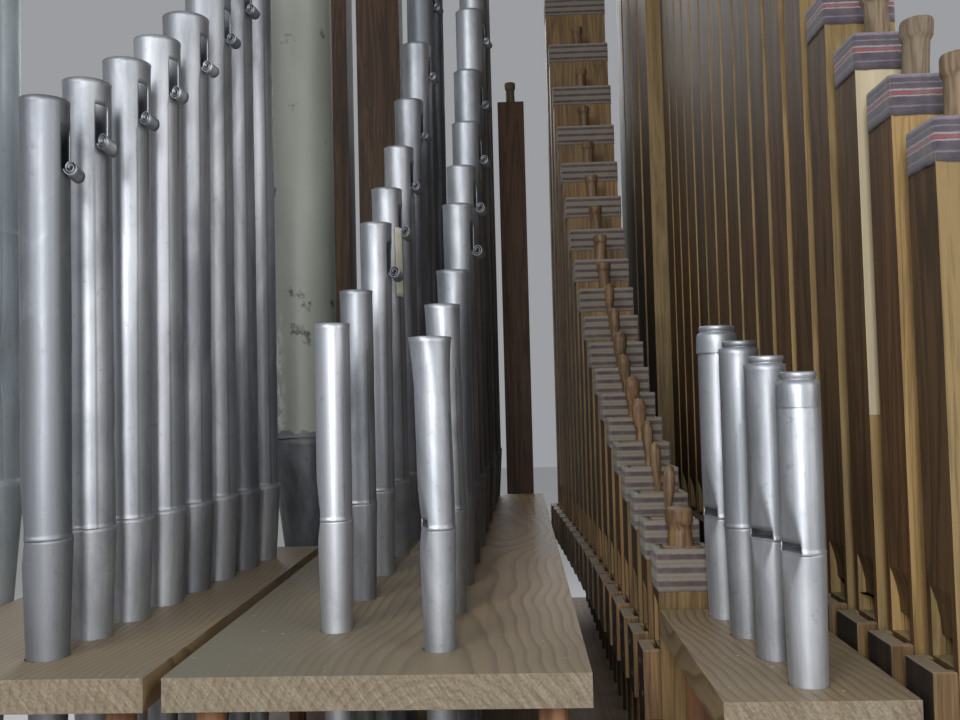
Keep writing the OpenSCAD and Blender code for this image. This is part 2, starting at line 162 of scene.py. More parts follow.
class Patchwork:
    """Collects surfaces, with a tone and UV for each point, and makes one object of them."""

    def __init__(self):
        self.points, self.faces, self.tones, self.uvs, self.count = [], [], [], [], 0

    def add(self, points, faces, tone=0.5, uv=None):
        points = np.asarray(points, dtype=float).reshape(-1, 3)
        self.points.append(points)
        self.faces += (np.asarray(faces) + self.count).tolist()
        self.tones.append(np.full(len(points), tone) if np.isscalar(tone) else np.ravel(tone))
        self.uvs.append(np.zeros((len(points), 2)) if uv is None else np.reshape(uv, (-1, 2)))
        self.count += len(points)

    def build(self, name, material, smooth=True, slot=None, replaces=()):
        """The object of all the surfaces, with its points at their places in the frame."""
        mesh = bpy.data.meshes.new(name)
        mesh.from_pydata(np.concatenate(self.points).tolist(), [], self.faces)
        mesh.validate()
        tone = mesh.attributes.new("tone", "FLOAT", "POINT")
        tone.data.foreach_set("value", np.concatenate(self.tones).astype(np.float32))
        corner = np.empty(len(mesh.loops), dtype=np.int64)
        mesh.loops.foreach_get("vertex_index", corner)
        layer = mesh.uv_layers.new(name="surface")
        layer.data.foreach_set("uv", np.concatenate(self.uvs)[corner].astype(np.float32).ravel())
        mesh.polygons.foreach_set("use_smooth", np.full(len(mesh.polygons), smooth))
        mesh.materials.append(material)
        piece = bpy.data.objects.new(name, mesh)
        bpy.context.scene.collection.objects.link(piece)
        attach(piece, "root")
        if replaces:
            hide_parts(*replaces)
        print(name, len(mesh.polygons), "faces")
        return piece


def thicken(piece, depth, outward=-1.0):
    """Give an open skin its metal, cloth or paper thickness."""
    wall = piece.modifiers.new("wall", "SOLIDIFY")
    wall.thickness = depth
    wall.offset = outward
    return piece


print("1 mm of unevenness at four angles:", np.round(waves(1, np.arange(4.0), 0, 0.001), 5))

# %% [markdown]
# Materials are small node trees. The class below keeps each node on one line: a number or colour
# is set on the socket, and another node's socket is linked to it. Most patterns here are one
# noise, squeezed between two grey levels to make a mask, and two colours mixed by that mask.
# %% Material helpers


def wire(tree, socket, value):
    """Link a socket to another node's, or set its number or colour."""
    if isinstance(value, bpy.types.NodeSocket):
        tree.links.new(value, socket)
    elif socket.type == "RGBA" and len(value) == 3:
        socket.default_value = (*value, 1.0)
    else:
        socket.default_value = value


def grey(level):
    """A colour of equal red, green and blue."""
    return (level, level, level)


def toned(colour, part):
    """A colour made darker, or with a part above 1 lighter."""
    return tuple(c * part for c in colour)


class Look:
    """One material at work: its node tree, its shader and the coordinates that it reads."""

    def __init__(self, name, base=None):
        self.material = base.copy() if base else bpy.data.materials.new(name)
        self.material.name = name
        self.material.use_nodes = True
        self.tree = self.material.node_tree
        self.shader = self.tree.nodes["Principled BSDF"]
        self.coords = self.node("ShaderNodeTexCoord").outputs["Object"]

    def node(self, kind, inputs=None, **settings):
        """Add a node, set its properties, and wire its inputs by name or number."""
        made = self.tree.nodes.new(kind)
        for key, value in settings.items():
            setattr(made, key, value)
        for key, value in (inputs or {}).items():
            wire(self.tree, made.inputs[key], value)
        return made

    def plug(self, **inputs):
        """Wire the shader's inputs; an underscore in a name stands for a space."""
        for key, value in inputs.items():
            wire(self.tree, self.shader.inputs[key.replace("_", " ")], value)

    def noise(self, scale, detail=6.0, roughness=0.6, stretch=(1, 1, 1), distortion=0.0, at=None):
        """Noise value over stretched coordinates."""
        vector = {"Vector": at or self.coords, "Scale": stretch}
        inputs = {"Vector": self.node("ShaderNodeMapping", vector).outputs[0], "Scale": scale}
        inputs |= {"Detail": detail, "Roughness": roughness, "Distortion": distortion}
        return self.node("ShaderNodeTexNoise", inputs).outputs["Fac"]

    def ramp(self, value, *stops):
        """Colour ramp through (position, colour) stops."""
        made = self.node("ShaderNodeValToRGB", {"Fac": value})
        while len(made.color_ramp.elements) < len(stops):
            made.color_ramp.elements.new(0.5)
        for element, (place, colour) in zip(made.color_ramp.elements, stops, strict=True):
            element.position = place
            element.color = (*colour, 1.0)
        return made.outputs["Color"]

    def mask(self, value, low, high, bottom=0.0, top=1.0):
        """Grey that rises from bottom, where the value is low, to top, where it is high."""
        return self.ramp(value, (low, grey(bottom)), (high, grey(top)))

    def mix(self, factor, first, second, blend="MIX"):
        """Mix two colours."""
        inputs = {0: factor, 6: first, 7: second}
        return self.node("ShaderNodeMix", inputs, data_type="RGBA", blend_type=blend).outputs[2]

    def maths(self, operation, first, second=0.0, third=0.0, clamp=False):
        """One arithmetic node."""
        inputs = {0: first, 1: second, 2: third}
        return self.node("ShaderNodeMath", inputs, operation=operation, use_clamp=clamp).outputs[0]

    def plus(self, first, second, clamp=False):
        return self.maths("ADD", first, second, clamp=clamp)

    def times(self, first, second, clamp=False):
        return self.maths("MULTIPLY", first, second, clamp=clamp)

    def line(self, value, slope, start, clamp=False):
        """The value times a slope, plus a start."""
        return self.maths("MULTIPLY_ADD", value, slope, start, clamp)

    def split(self, vector):
        """The X, Y and Z of a vector."""
        return self.node("ShaderNodeSeparateXYZ", {0: vector}).outputs

    def facing(self, axis):
        """One part of the surface's direction."""
        return self.split(self.node("ShaderNodeNewGeometry").outputs["Normal"])[axis]

    def tone(self):
        """The tone that each point of a patchwork carries."""
        return self.node("ShaderNodeAttribute", attribute_name="tone").outputs["Fac"]

    def bump(self, height, distance, strength=1.0):
        inputs = {"Height": height, "Distance": distance, "Strength": strength}
        return self.node("ShaderNodeBump", inputs).outputs[0]


# %% [markdown]
# Organ metal is an alloy of lead and tin, planed, rolled round a mandrel and left bare. New, it
# is nearly white; with age it greys in clouds, and every tuner's cone and every fingertip leaves
# a mark. So the colour comes from broad clouds, long faint planing lines and small dark specks,
# and the roughness follows the clouds, which is what breaks up the highlight.
# %% Pipe metal


def pipe_metal(name, bright, dull, rough=(0.26, 0.5), speck=0.35, metallic=0.88):
    """Bare metal: clouds set its colour and gloss, with planing lines and specks over them."""
    look = Look(name)
    clouds = look.noise(16.0, 8.0, 0.62, (1, 1, 0.35), 0.6)
    lines = look.noise(60.0, 5.0, 0.7, (7, 7, 0.12))
    specks = look.noise(170.0, 4.0, 0.7)
    wear = look.noise(5.0, 6.0, 0.6, (1, 1, 0.5))
    shade = look.plus(clouds, look.times(look.tone(), 0.55), clamp=True)
    body = look.ramp(shade, (0.38, dull), (0.66, bright), (0.95, toned(bright, 1.08)))
    lined = look.mix(0.22, body, look.mask(lines, 0.3, 0.7, 0.35), "MULTIPLY")
    spotted = look.mix(look.mask(specks, 0.60, 0.72, top=speck), lined, toned(dull, 0.45))
    colour = look.mix(look.mask(wear, 0.56, 0.8, top=0.5), spotted, toned(dull, 0.8))
    level = look.line(clouds, rough[0] - rough[1], rough[1] + 0.09)
    relief = look.plus(look.times(clouds, 1.4), look.times(lines, 0.25))
    look.plug(
        Base_Color=colour,
        Metallic=metallic,
        Roughness=look.plus(level, look.times(lines, 0.12), clamp=True),
        Normal=look.bump(relief, 0.0006, 0.55),
    )
    print("metal:", name, len(look.tree.nodes), "nodes")
    return look.material


tin = pipe_metal("planed_tin_lead", (0.47, 0.49, 0.53), (0.23, 0.245, 0.27), (0.24, 0.46))
foot_tin = pipe_metal(
    "foot_metal", (0.47, 0.485, 0.515), (0.23, 0.24, 0.26), (0.30, 0.50), metallic=0.85
)
bright_zinc = pipe_metal(
    "bright_zinc", (0.56, 0.62, 0.66), (0.33, 0.38, 0.41), (0.34, 0.52), metallic=0.7
)
bare_zinc = pipe_metal("bare_zinc", (0.20, 0.21, 0.23), (0.07, 0.075, 0.08), (0.35, 0.65), 0.6)

# %% [markdown]
# The largest bass pipes are zinc, and someone painted one a thin grey-green. The paint stops in
# a ragged edge above the foot and shows dark blots where it was knocked. Low on the pipe's left
# side, small bright spots are painted highlights: glints where the bubbled paint catches light.
# %% Painted zinc
PAINT_END = 1.066
PAINT_DARK, PAINT_PALE = (0.185, 0.20, 0.175), (0.29, 0.31, 0.265)
BLOT, PAINTED_GLINT, BELOW_PAINT = (0.045, 0.045, 0.045), (0.60, 0.62, 0.61), (0.10, 0.105, 0.11)


def painted_zinc():
    """Thin paint on zinc: blots, painted glints low on its left, bare metal below its edge."""
    look = Look("grey_green_paint")
    at = look.split(look.coords)
    clouds = look.noise(6.0, 7.0, 0.6, (1, 1, 0.4))
    blots = look.noise(22.0, 5.0, 0.62)
    fine = look.noise(190.0, 4.0, 0.7)
    paint = look.ramp(clouds, (0.3, PAINT_DARK), (0.7, PAINT_PALE))
    colour = look.mix(look.mask(blots, 0.64, 0.69), paint, BLOT)
    left = look.line(at["X"], -40.0, -9.0, clamp=True)  # 0 at X = -0.225, more to the left
    low = look.line(at["Z"], -8.0, 10.2, clamp=True)  # 0 at Z = 1.275, more below
    # Painted highlight: bright spots low on the left stand for glints of light on bubbled paint.
    glint_spots = look.mask(look.noise(130.0, 5.0, 0.7, (1, 1, 0.45)), 0.50, 0.56)
    colour = look.mix(look.times(look.times(left, low), glint_spots), colour, PAINTED_GLINT)
    edge = look.line(look.noise(55.0, 4.0, 0.6), -0.030, PAINT_END + 0.022)
    colour = look.mix(look.maths("LESS_THAN", at["Z"], edge), colour, BELOW_PAINT)
    relief = look.plus(fine, look.times(blots, 0.8))
    look.plug(
        Base_Color=colour,
        Metallic=0.0,
        Roughness=look.line(clouds, -0.25, 0.58),
        Normal=look.bump(relief, 0.0004, 0.5),
        Coat_Weight=0.15,
        Coat_Roughness=0.4,
    )
    return look.material


zinc_paint = painted_zinc()
print("paint ends", PAINT_END, "m above the floor")

# %% [markdown]
# A metal pipe is a tube on a cone. The tube's skin is one function of the angle and the height:
# the radius times the direction, pushed in where the maker pressed the lips flat with a round
# file, leaning slightly, and never quite round. The mouth and the tuning slot are then simply
# quads that are left out, which is why the rows and columns of the grid are laid on their edges.
# %% A pipe's columns, dents and lean
MOUTH_SIDE = np.pi  # the mouths face -X
MOUTH_HALF = 0.678  # half width of the mouth, as a part of the radius
CUT_UP = 0.42  # height of the mouth, as a part of the radius
LIP_IN = 0.30  # how far the lips are pressed in, as a part of the radius
LIP_REACH = 1.3  # radians each side of the mouth that the pressing reaches
LEAF_UP, LEAF_DOWN = 2.4, 1.7  # length of the upper and lower lip, in radii
SLOT_SIDE = np.radians(-18)
SLOT_DROP, SLOT_TALL, SLOT_WIDE = 0.018, 0.030, 0.010
SEAM_WIDE = 0.0010
LEAN = 0.0022
DIMPLE_WIDE, DIMPLE_DEEP = (0.006, 0.013), (0.0003, 0.0009)  # least and most
NEAR_COLUMNS = (1, 2, 2, 20, 7, 7, 20)  # seam, half slot twice, on to the mouth, half mouth twice
FAR_COLUMNS = (1, 1, 1, 10, 4, 4, 10)


def pipe_columns(radius, counts=NEAR_COLUMNS):
    """Angles around the pipe, with one on each edge of the seam, the slot and the mouth."""
    half = np.arcsin(MOUTH_HALF)
    slot = SLOT_WIDE / 2 / radius
    seam = SLOT_SIDE - slot - SEAM_WIDE / radius
    marks = [seam, SLOT_SIDE - slot, SLOT_SIDE, SLOT_SIDE + slot]
    marks += [MOUTH_SIDE - half, MOUTH_SIDE, MOUTH_SIDE + half, seam + 2 * np.pi]
    spans = [
        np.linspace(a, b, n, endpoint=False)
        for a, b, n in zip(marks[:-1], marks[1:], counts, strict=True)
    ]
    return np.concatenate(spans), half, slot


def spun(points, cx, cy, by):
    """Points turned about a pipe's own axis, as a pipe is turned in its hole."""
    x, y = points[..., 0] - cx, points[..., 1] - cy
    c, s = np.cos(by), np.sin(by)
    return np.stack([cx + c * x - s * y, cy + s * x + c * y, points[..., 2]], -1)


def angle_from(u, side):
    """Angle from one side of the pipe, between minus and plus half a turn."""
    return np.mod(u - side + np.pi, 2 * np.pi) - np.pi


def hump(value, half):
    """A bell curve: 1 at zero, fading over the half width."""
    return np.exp(-((value / half) ** 2))


def dimples(seed, u, h, radius, low, high, count=3):
    """Depth of a few round dents, each a Gaussian hollow at a seeded angle and height."""
    rng = np.random.default_rng(seed + 60)
    depth = np.zeros(np.broadcast(u, h).shape)
    for _ in range(count):
        at_u, at_h = rng.uniform(0, 2 * np.pi), rng.uniform(low, high)
        wide, deep = rng.uniform(*DIMPLE_WIDE), rng.uniform(*DIMPLE_DEEP)
        off = angle_from(u, at_u) * radius
        depth = depth + deep * np.exp(-((off / wide) ** 2) - ((h - at_h) / wide) ** 2)
    return depth


def lean(seed, z, foot, top):
    """Sideways drift of a pipe's axis at height z: none at its foot, most at its top."""
    rng = np.random.default_rng(seed + 900)
    away = rng.uniform(-1, 1, 2) * LEAN
    rise = np.clip((z - foot) / (top - foot), 0, 1) ** 1.3
    return away[0] * rise, away[1] * rise


def press_lip(x, radius, height, above):
    """Push the wall in towards the mouth: a soft maximum of the round wall and a leaning plane."""
    plane = -radius + LIP_IN * radius * np.clip(1 - above / height, -0.2, 1)
    soft = radius * 0.02
    return 0.5 * (x + plane + np.sqrt((x - plane) ** 2 + soft**2)) - 0.5 * soft * (x < plane)


print("columns round a pipe:", sum(NEAR_COLUMNS), "near,", sum(FAR_COLUMNS), "far")

# %% [markdown]
# The tube's radius is a sum: the round one, a soldered ring at the joint, shallow waves, the
# rim's burr, and on some pipes a flare that the tuner's cone left. Only rows that carry detail
# are laid close together, and pipes far down the rank get fewer rows and columns.
# %% The tube's skin
SHY = 0.0002  # how far the skin stays inside the frame's pipe
JOINT_ROWS = np.array([-1.6, -0.9, 0.0, 0.9, 1.7]) * 1e-3
SOLDER_OUT, SOLDER_UNEVEN, SOLDER_HALF = 0.0007, 0.0004, 0.0011
WAVE_DEEP, WAVE_RATE = 0.00035, 18
RIM_OUT, RIM_HALF = 0.00035, 0.0015
FLARE_TALL = 0.034
DENTED_FROM = 0.15  # tubes shorter than this have no round dents
LEAF_ROWS, NEAR_ROWS, FAR_ROWS, SLOT_ROWS = 12, 34, 12, 6
SCORED_TALL = 0.055  # a line is scored below each slot, where the tongue was first cut
SEAM_SHADE, SCORED_LINE_PAINTED_SHADE = -0.55, -0.4


def body_rows(z0, z1, mouth, leaf, low, high, fine, extra):
    """Heights of the grid's rows, close at the joint and on every edge of the openings."""
    leaf_end = min(leaf, low - 0.004)
    spans = [
        z0 + JOINT_ROWS,
        np.linspace(z0 + 0.0022, mouth, 4),
        np.linspace(mouth, leaf_end, LEAF_ROWS)[1:],
        np.linspace(leaf_end, low, NEAR_ROWS if fine else FAR_ROWS)[1:],
        np.linspace(low, high, SLOT_ROWS)[1:],
        np.linspace(high, z1, SLOT_ROWS)[1:],
        np.array(extra),
    ]
    return np.sort(np.concatenate(spans))


def body_radius(seed, radius, u, h, z0, z1, flare):
    """Radius of the tube at angle u and height h."""
    ring = hump(h - z0, SOLDER_HALF) * (SOLDER_OUT + waves(seed + 3, u * 2, u * 0, SOLDER_UNEVEN))
    dents = waves(seed, u, (h - z0) * WAVE_RATE, WAVE_DEEP)
    rim = RIM_OUT * hump(h - z1, RIM_HALF)
    uneven = 1 + 0.35 * np.sin(2 * u + 0.6) + 0.2 * np.sin(5 * u)
    wide = flare * np.clip((h - z1 + FLARE_TALL) / FLARE_TALL, 0, 1) ** 1.6 * uneven
    return radius - SHY + ring + dents + rim + wide


def body_surface(box, seed, slotted, flare=0.0, fine=True, extra=()):
    """Points, quads, UV and shade of one tube, with extra rows of points at given heights."""
    cx, cy, _, radius = plan(box)
    z0, z1 = box[0][2], box[1][2]
    counts = NEAR_COLUMNS if fine else FAR_COLUMNS
    turn, half, slot = pipe_columns(radius, counts)
    low, high = z1 - SLOT_DROP - SLOT_TALL, z1 - SLOT_DROP
    mouth, leaf = z0 + CUT_UP * radius, z0 + (CUT_UP + LEAF_UP) * radius
    z = body_rows(z0, z1, mouth, leaf, low, high, fine, extra)
    u, h = np.meshgrid(turn, z)
    r = body_radius(seed, radius, u, h, z0, z1, flare)
    if fine and z1 - z0 > DENTED_FROM:
        r = r - dimples(seed, u, h, radius, leaf, low)
    x, y = r * np.cos(u), r * np.sin(u)
    at_lip = (np.abs(angle_from(u, MOUTH_SIDE)) < LIP_REACH) & (h < leaf)
    x = np.where(at_lip, press_lip(x, radius, LEAF_UP * radius, h - mouth), x)
    dx, dy = lean(seed, h, z0, z1)
    points = np.stack([cx + x + dx, cy + y + dy, h], -1)

    middle = 0.5 * (h[:-1] + h[1:])
    next_turn = np.roll(turn, -1)
    next_turn[-1] += 2 * np.pi
    centre = 0.5 * (turn + next_turn)
    over_mouth = np.abs(centre - MOUTH_SIDE) < half
    keep = ~(over_mouth[None, :] & (middle > z0 - SHY) & (middle < mouth))
    column = np.arange(len(turn))
    shade = SEAM_SHADE * (column == 0) * (h < low)
    if slotted:
        over_slot = np.abs(centre - SLOT_SIDE) < slot
        keep &= ~(over_slot[None, :] & (middle > low) & (middle < high))
        slot_edge = column == 1 + counts[1] + counts[2]
        # Painted shade: a dark line below the slot's edge stands for the shade in the scored
        # groove.
        shade = shade + SCORED_LINE_PAINTED_SHADE * (slot_edge & (h < low) & (h > low - SCORED_TALL))
    return points, grid_faces(len(z), len(turn), True, keep), np.stack([u * radius, h], -1), shade


first_tube = solid_boxes("middle_rank_bodies")[0]
print("quads in the first tube:", len(body_surface(first_tube, 0, False)[1]))

# %% [markdown]
# Below the joint the pipe is a cone that ends in its toe hole. Its lower lip is pressed like the
# upper one. Between tube and cone lies the languid, a flat plate that leaves only a slit at the
# lip for the wind: here it is a few rings of points that shrink to the middle.
# %% Foot and languid
TOE = 0.006
CONE_ROWS, LIP_ROWS = 9, 12
LIP_SPAN = 1.3  # the close rows reach this much further down than the lower lip
FOOT_WAVE, FOOT_RATE = 0.0003, 14
LANGUID_RINGS = np.array([0.97, 0.9, 0.5, 0.02])
LANGUID_COLUMNS = 40
LANGUID_THICK = 0.002
WINDWAY = 0.0018


def foot_surface(box, body, seed):
    """The cone below the joint, with its lower lip pressed to meet the mouth."""
    cx, cy, _, _ = plan(box)
    radius = plan(body)[3]
    z0, z1 = box[0][2], box[1][2]
    turn, _, _ = pipe_columns(radius)
    leaf = LEAF_DOWN * radius
    lip = z1 - leaf * LIP_SPAN
    z = np.concatenate([np.linspace(z0, lip, CONE_ROWS), np.linspace(lip, z1, LIP_ROWS)[1:]])
    u, h = np.meshgrid(turn, z)
    cone = TOE + (radius - TOE) * (h - z0) / (z1 - z0)
    r = cone + waves(seed + 7, u, (h - z0) * FOOT_RATE, FOOT_WAVE)
    x, y = r * np.cos(u), r * np.sin(u)
    at_lip = (np.abs(angle_from(u, MOUTH_SIDE)) < LIP_REACH) & (h > z1 - leaf)
    x = np.where(at_lip, press_lip(x, radius, leaf, z1 - h), x)
    points = np.stack([cx + x, cy + y, h], -1)
    return points, grid_faces(len(z), len(turn), True), np.stack([u * radius, h], -1)


def languid_surface(box, body):
    """The flat plate across the pipe at the joint, as rings shrinking to its middle."""
    cx, cy, _, radius = plan(body)
    top = box[1][2]
    turn = np.linspace(0, 2 * np.pi, LANGUID_COLUMNS, endpoint=False)
    size, u = np.meshgrid(LANGUID_RINGS, turn, indexing="ij")
    x = np.maximum(size * radius * np.cos(u), -radius * (1 - LIP_IN) + WINDWAY)
    y = size * radius * np.sin(u)
    outermost = size == LANGUID_RINGS[0]
    z = np.where(outermost, top - LANGUID_THICK, top - SHY)
    return np.stack([cx + x, cy + y, z], -1), grid_faces(*size.shape, True)


print("quads in its foot:", len(foot_surface(solid_boxes("middle_rank_feet")[0], first_tube, 0)[1]))

# %% [markdown]
# The tuning slot's tongue isn't cut away: the tuner rolls it down like the lid of a sardine tin,
# and the roll sets the note. Its section is a spiral whose radius shrinks with the angle, swept
# over the slot's width, with a short flat run up from the slot's foot.
# %% The rolled tongue
SCROLL_TURNS = 2.1
SCROLL_R = 0.0057
SCROLL_SHRINK = 0.76  # part of the radius that is lost from the outer end to the inner
SCROLL_SIZES = (0.85, 1.1)  # the smallest and largest roll, as parts of the radius
SCROLL_STEPS, SCROLL_COLUMNS = 52, 5
SKEW_DROP, SKEW_SPLAY = (-0.62, -0.30), (0.05, 0.35)  # the roll hangs skew, down and outwards
TONGUE_HALF = SLOT_WIDE * 0.45
TONGUE_THICK = 0.00055
ROOT_IN, ROOT_UP = 0.0004, 0.0012  # the tongue starts inside the wall, a little above the roll
ROLL_UP = 0.0006  # height of the roll's middle above the slot's foot
INNER_TURN_PAINTED_SHADE = -0.8


def scroll_surface(box, seed):
    """A spiral sheet whose radius falls evenly with the angle; its inner turns get painted shade.
    """
    cx, cy, _, radius = plan(box)
    z0, z1 = box[0][2], box[1][2]
    rng = np.random.default_rng(seed + 40)
    tall = SCROLL_R * rng.uniform(*SCROLL_SIZES)
    angle = np.linspace(0, 2 * np.pi * SCROLL_TURNS, SCROLL_STEPS)
    part = angle / angle[-1]
    away = tall * (1 - SCROLL_SHRINK * part) + waves(seed + 41, angle, 0, 0.00012)
    out = np.concatenate([[-ROOT_IN], tall - away * np.cos(angle)])
    up = np.concatenate([[ROOT_UP], -away * np.sin(angle)])
    drop, splay = rng.uniform(*SKEW_DROP), rng.uniform(*SKEW_SPLAY)
    across = np.linspace(-TONGUE_HALF, TONGUE_HALF, SCROLL_COLUMNS)
    along, o = np.meshgrid(across, out)
    _, rise = np.meshgrid(across, up)
    free = o > SHY  # all of the roll but its root
    rise = rise + z1 - SLOT_DROP - SLOT_TALL + ROLL_UP + drop * along * free
    from_axis = radius + o + splay * along * free
    c, s = np.cos(SLOT_SIDE), np.sin(SLOT_SIDE)
    dx, dy = lean(seed, z1 - 0.04, z0, z1)
    x = cx + dx + c * from_axis - s * along
    y = cy + dy + s * from_axis + c * along
    # Painted shade: the tone darkens along the spiral towards its inner turns.
    inner = INNER_TURN_PAINTED_SHADE * np.concatenate([[0.0], part])[:, None] * np.ones(SCROLL_COLUMNS)
    return np.stack([x, y, rise], -1), grid_faces(len(out), SCROLL_COLUMNS, False), inner


mean_radius = SCROLL_R * (1 - SCROLL_SHRINK / 2)
print("a tongue unrolls to", round(mean_radius * 2 * np.pi * SCROLL_TURNS * 1000), "mm")

# %% [markdown]
# A rank is now a loop over its pipes. A few pipes near the camera have something of their own,
# read from the photograph: how far they are turned in their holes, a darker or brighter metal,
# or a flared top. The rest is the seed's doing.
# %% Build the open metal ranks
METAL = 0.0009
CONE_SHADE, LANGUID_SHADE = 0.05, 0.2  # how much darker than the tube
PLAIN_PIPE = {"turn": 0.0, "tone": 0.0, "flare": 0.0}


def pipe_tone(seed):
    """How much brighter or darker a pipe is than its rank, from its seed."""
    return float(np.random.default_rng(seed + 11).uniform(-0.12, 0.22))


def metal_rank(rank, quirks, first_slot=None, near=9):
    """Tubes, feet and rolled tongues of one rank, each on its own solid of the frame."""
    tubes, cones, rolls = Patchwork(), Patchwork(), Patchwork()
    bodies, feet = rank + "_bodies", rank + "_feet"
    for k, (body, foot) in enumerate(zip(solid_boxes(bodies), solid_boxes(feet), strict=True)):
        seed = 1000 * len(rank) + k
        own = PLAIN_PIPE | quirks.get(k, {})
        axis = (*plan(body)[:2], np.radians(own["turn"]))
        tone = pipe_tone(seed) + own["tone"]
        slotted = first_slot is not None and k >= first_slot
        points, quads, uv, shade = body_surface(body, seed, slotted, own["flare"], k < near)
        tubes.add(spun(points, *axis), quads, tone + shade, uv)
        points, quads, uv = foot_surface(foot, body, seed)
        cones.add(spun(points, *axis), quads, tone - CONE_SHADE, uv)
        points, quads = languid_surface(foot, body)
        cones.add(spun(points, *axis), quads, pipe_tone(seed) - LANGUID_SHADE)
        if slotted:
            points, quads, inner = scroll_surface(body, seed)
            rolls.add(spun(points, *axis), quads, pipe_tone(seed) + inner)
    thicken(tubes.build(rank + "_tubes", tin, slot="pipe_metal", replaces=[bodies]), METAL)
    thicken(cones.build(rank + "_cones", foot_tin, slot="pipe_metal", replaces=[feet]), METAL)
    if first_slot is not None:
        name, scrolls = rank + "_rolled_tongues", [rank + "_scrolls"]
        thicken(rolls.build(name, tin, slot="pipe_metal", replaces=scrolls), TONGUE_THICK, 0.0)


metal_rank(
    "left_rank",
    {
        0: {"turn": 13, "tone": -0.28},
        1: {"turn": -11, "tone": -0.1},
        2: {"turn": -4},
        3: {"turn": -6},
        4: {"tone": -0.15},
        5: {"turn": 4},
        6: {"tone": -0.12},
    },
    first_slot=0,
)
metal_rank(
    "middle_rank",
    {
        0: {"turn": 20, "tone": 0.25, "flare": 0.0019},
        1: {"tone": 0.1},
        2: {"flare": 0.0004},
        4: {"flare": 0.0008},
    },
    first_slot=5,
    near=8,
)
metal_rank("treble", {0: {"turn": 24}, 1: {"turn": 36}, 2: {"turn": -60}, 3: {"turn": 20}})

# %% [markdown]
# The two bass pipes are zinc, too stiff to press by hand, and they wear differently: the slim one
# is bright and was once knocked in, the large one was painted down to a ragged edge just above
# its mouth. So each gets its own tube. The dent is a Gaussian hollow between two creases that
# stand out, and the slim pipe's second sheet starts at a soldered ring. Both are small, so the
# grid gets extra rows there.
# %% Zinc bass pipes
DENT_Z, DENT_SIDE = 1.148, np.radians(-14)
DENT_DEEP, DENT_ANGLE, DENT_TALL = 0.0064, 0.50, 0.028
CREASE_OUT, CREASE_AT, CREASE_ANGLE, CREASE_TALL = 0.0016, 0.80, 0.20, 0.014
RING_Z, RING_OUT, RING_HALF = 1.256, 0.0008, 0.0020
DENT_ROWS = [DENT_Z + rise for rise in np.linspace(-0.0801, 0.0799, 29)]
RING_ROWS = [RING_Z + rise for rise in (-0.0061, -0.0032, -0.0016, 0.0001, 0.0017, 0.0033, 0.0062)]


def dented(points, cx, cy):
    """The tube's points with the dent, its creases and the ring added to their radius."""
    turn = np.arctan2(points[..., 1] - cy, points[..., 0] - cx)
    off, rise = turn - DENT_SIDE, points[..., 2] - DENT_Z
    hollow = DENT_DEEP * np.exp(-((off / DENT_ANGLE) ** 2) - (rise / DENT_TALL) ** 2)
    beside = (np.abs(off) - CREASE_AT) / CREASE_ANGLE
    crease = CREASE_OUT * np.exp(-(beside**2) - (rise / CREASE_TALL) ** 2)
    ring = RING_OUT * hump(points[..., 2] - RING_Z, RING_HALF)
    points[..., 0] += (ring + crease - hollow) * np.cos(turn)
    points[..., 1] += (ring + crease - hollow) * np.sin(turn)
    return points


def zinc_pipe(name, body, foot, seed, metal, foot_metal, slot, slim):
    """One bass pipe, with its own metals; the slim one is dented."""
    tube, cone = Patchwork(), Patchwork()
    rows = DENT_ROWS + RING_ROWS if slim else []
    points, quads, uv, shade = body_surface(body, seed, False, extra=rows)
    if slim:
        points = dented(points, *plan(body)[:2])
    tube.add(points, quads, 0.1 + shade, uv)
    points, quads, uv = foot_surface(foot, body, seed)
    cone.add(points, quads, 0.0, uv)
    cone.add(*languid_surface(foot, body), -LANGUID_SHADE)
    thicken(tube.build(name + "_tube", metal, slot=slot, replaces=["zinc_bass_bodies"]), METAL)
    feet = ["zinc_bass_feet"]
    thicken(cone.build(name + "_cone", foot_metal, slot="bare_zinc", replaces=feet), METAL)


slim, large = zip(solid_boxes("zinc_bass_bodies"), solid_boxes("zinc_bass_feet"), strict=True)
zinc_pipe("slim_zinc", *slim, 71, bright_zinc, bright_zinc, "bare_zinc", True)
zinc_pipe("large_zinc", *large, 72, zinc_paint, bare_zinc, "painted_zinc", False)

# %% [markdown]
# Wood shows three things at once: growth rings stretched along the grain, short dark pores, and
# dust. Rings come from noise that is squeezed across the grain and drawn out along it. Each solid
# carries a random tone, which also shifts the pattern, so that no two boards repeat.
# %% Timber materials
WOOD_DUST = (0.27, 0.235, 0.175)
RINGS_IN_NOISE = 9.0  # pale and dark bands that one noise is folded into
PALE_TINT, DARK_TINT = (1.12, 1.0, 0.90), (0.74, 0.71, 0.66)


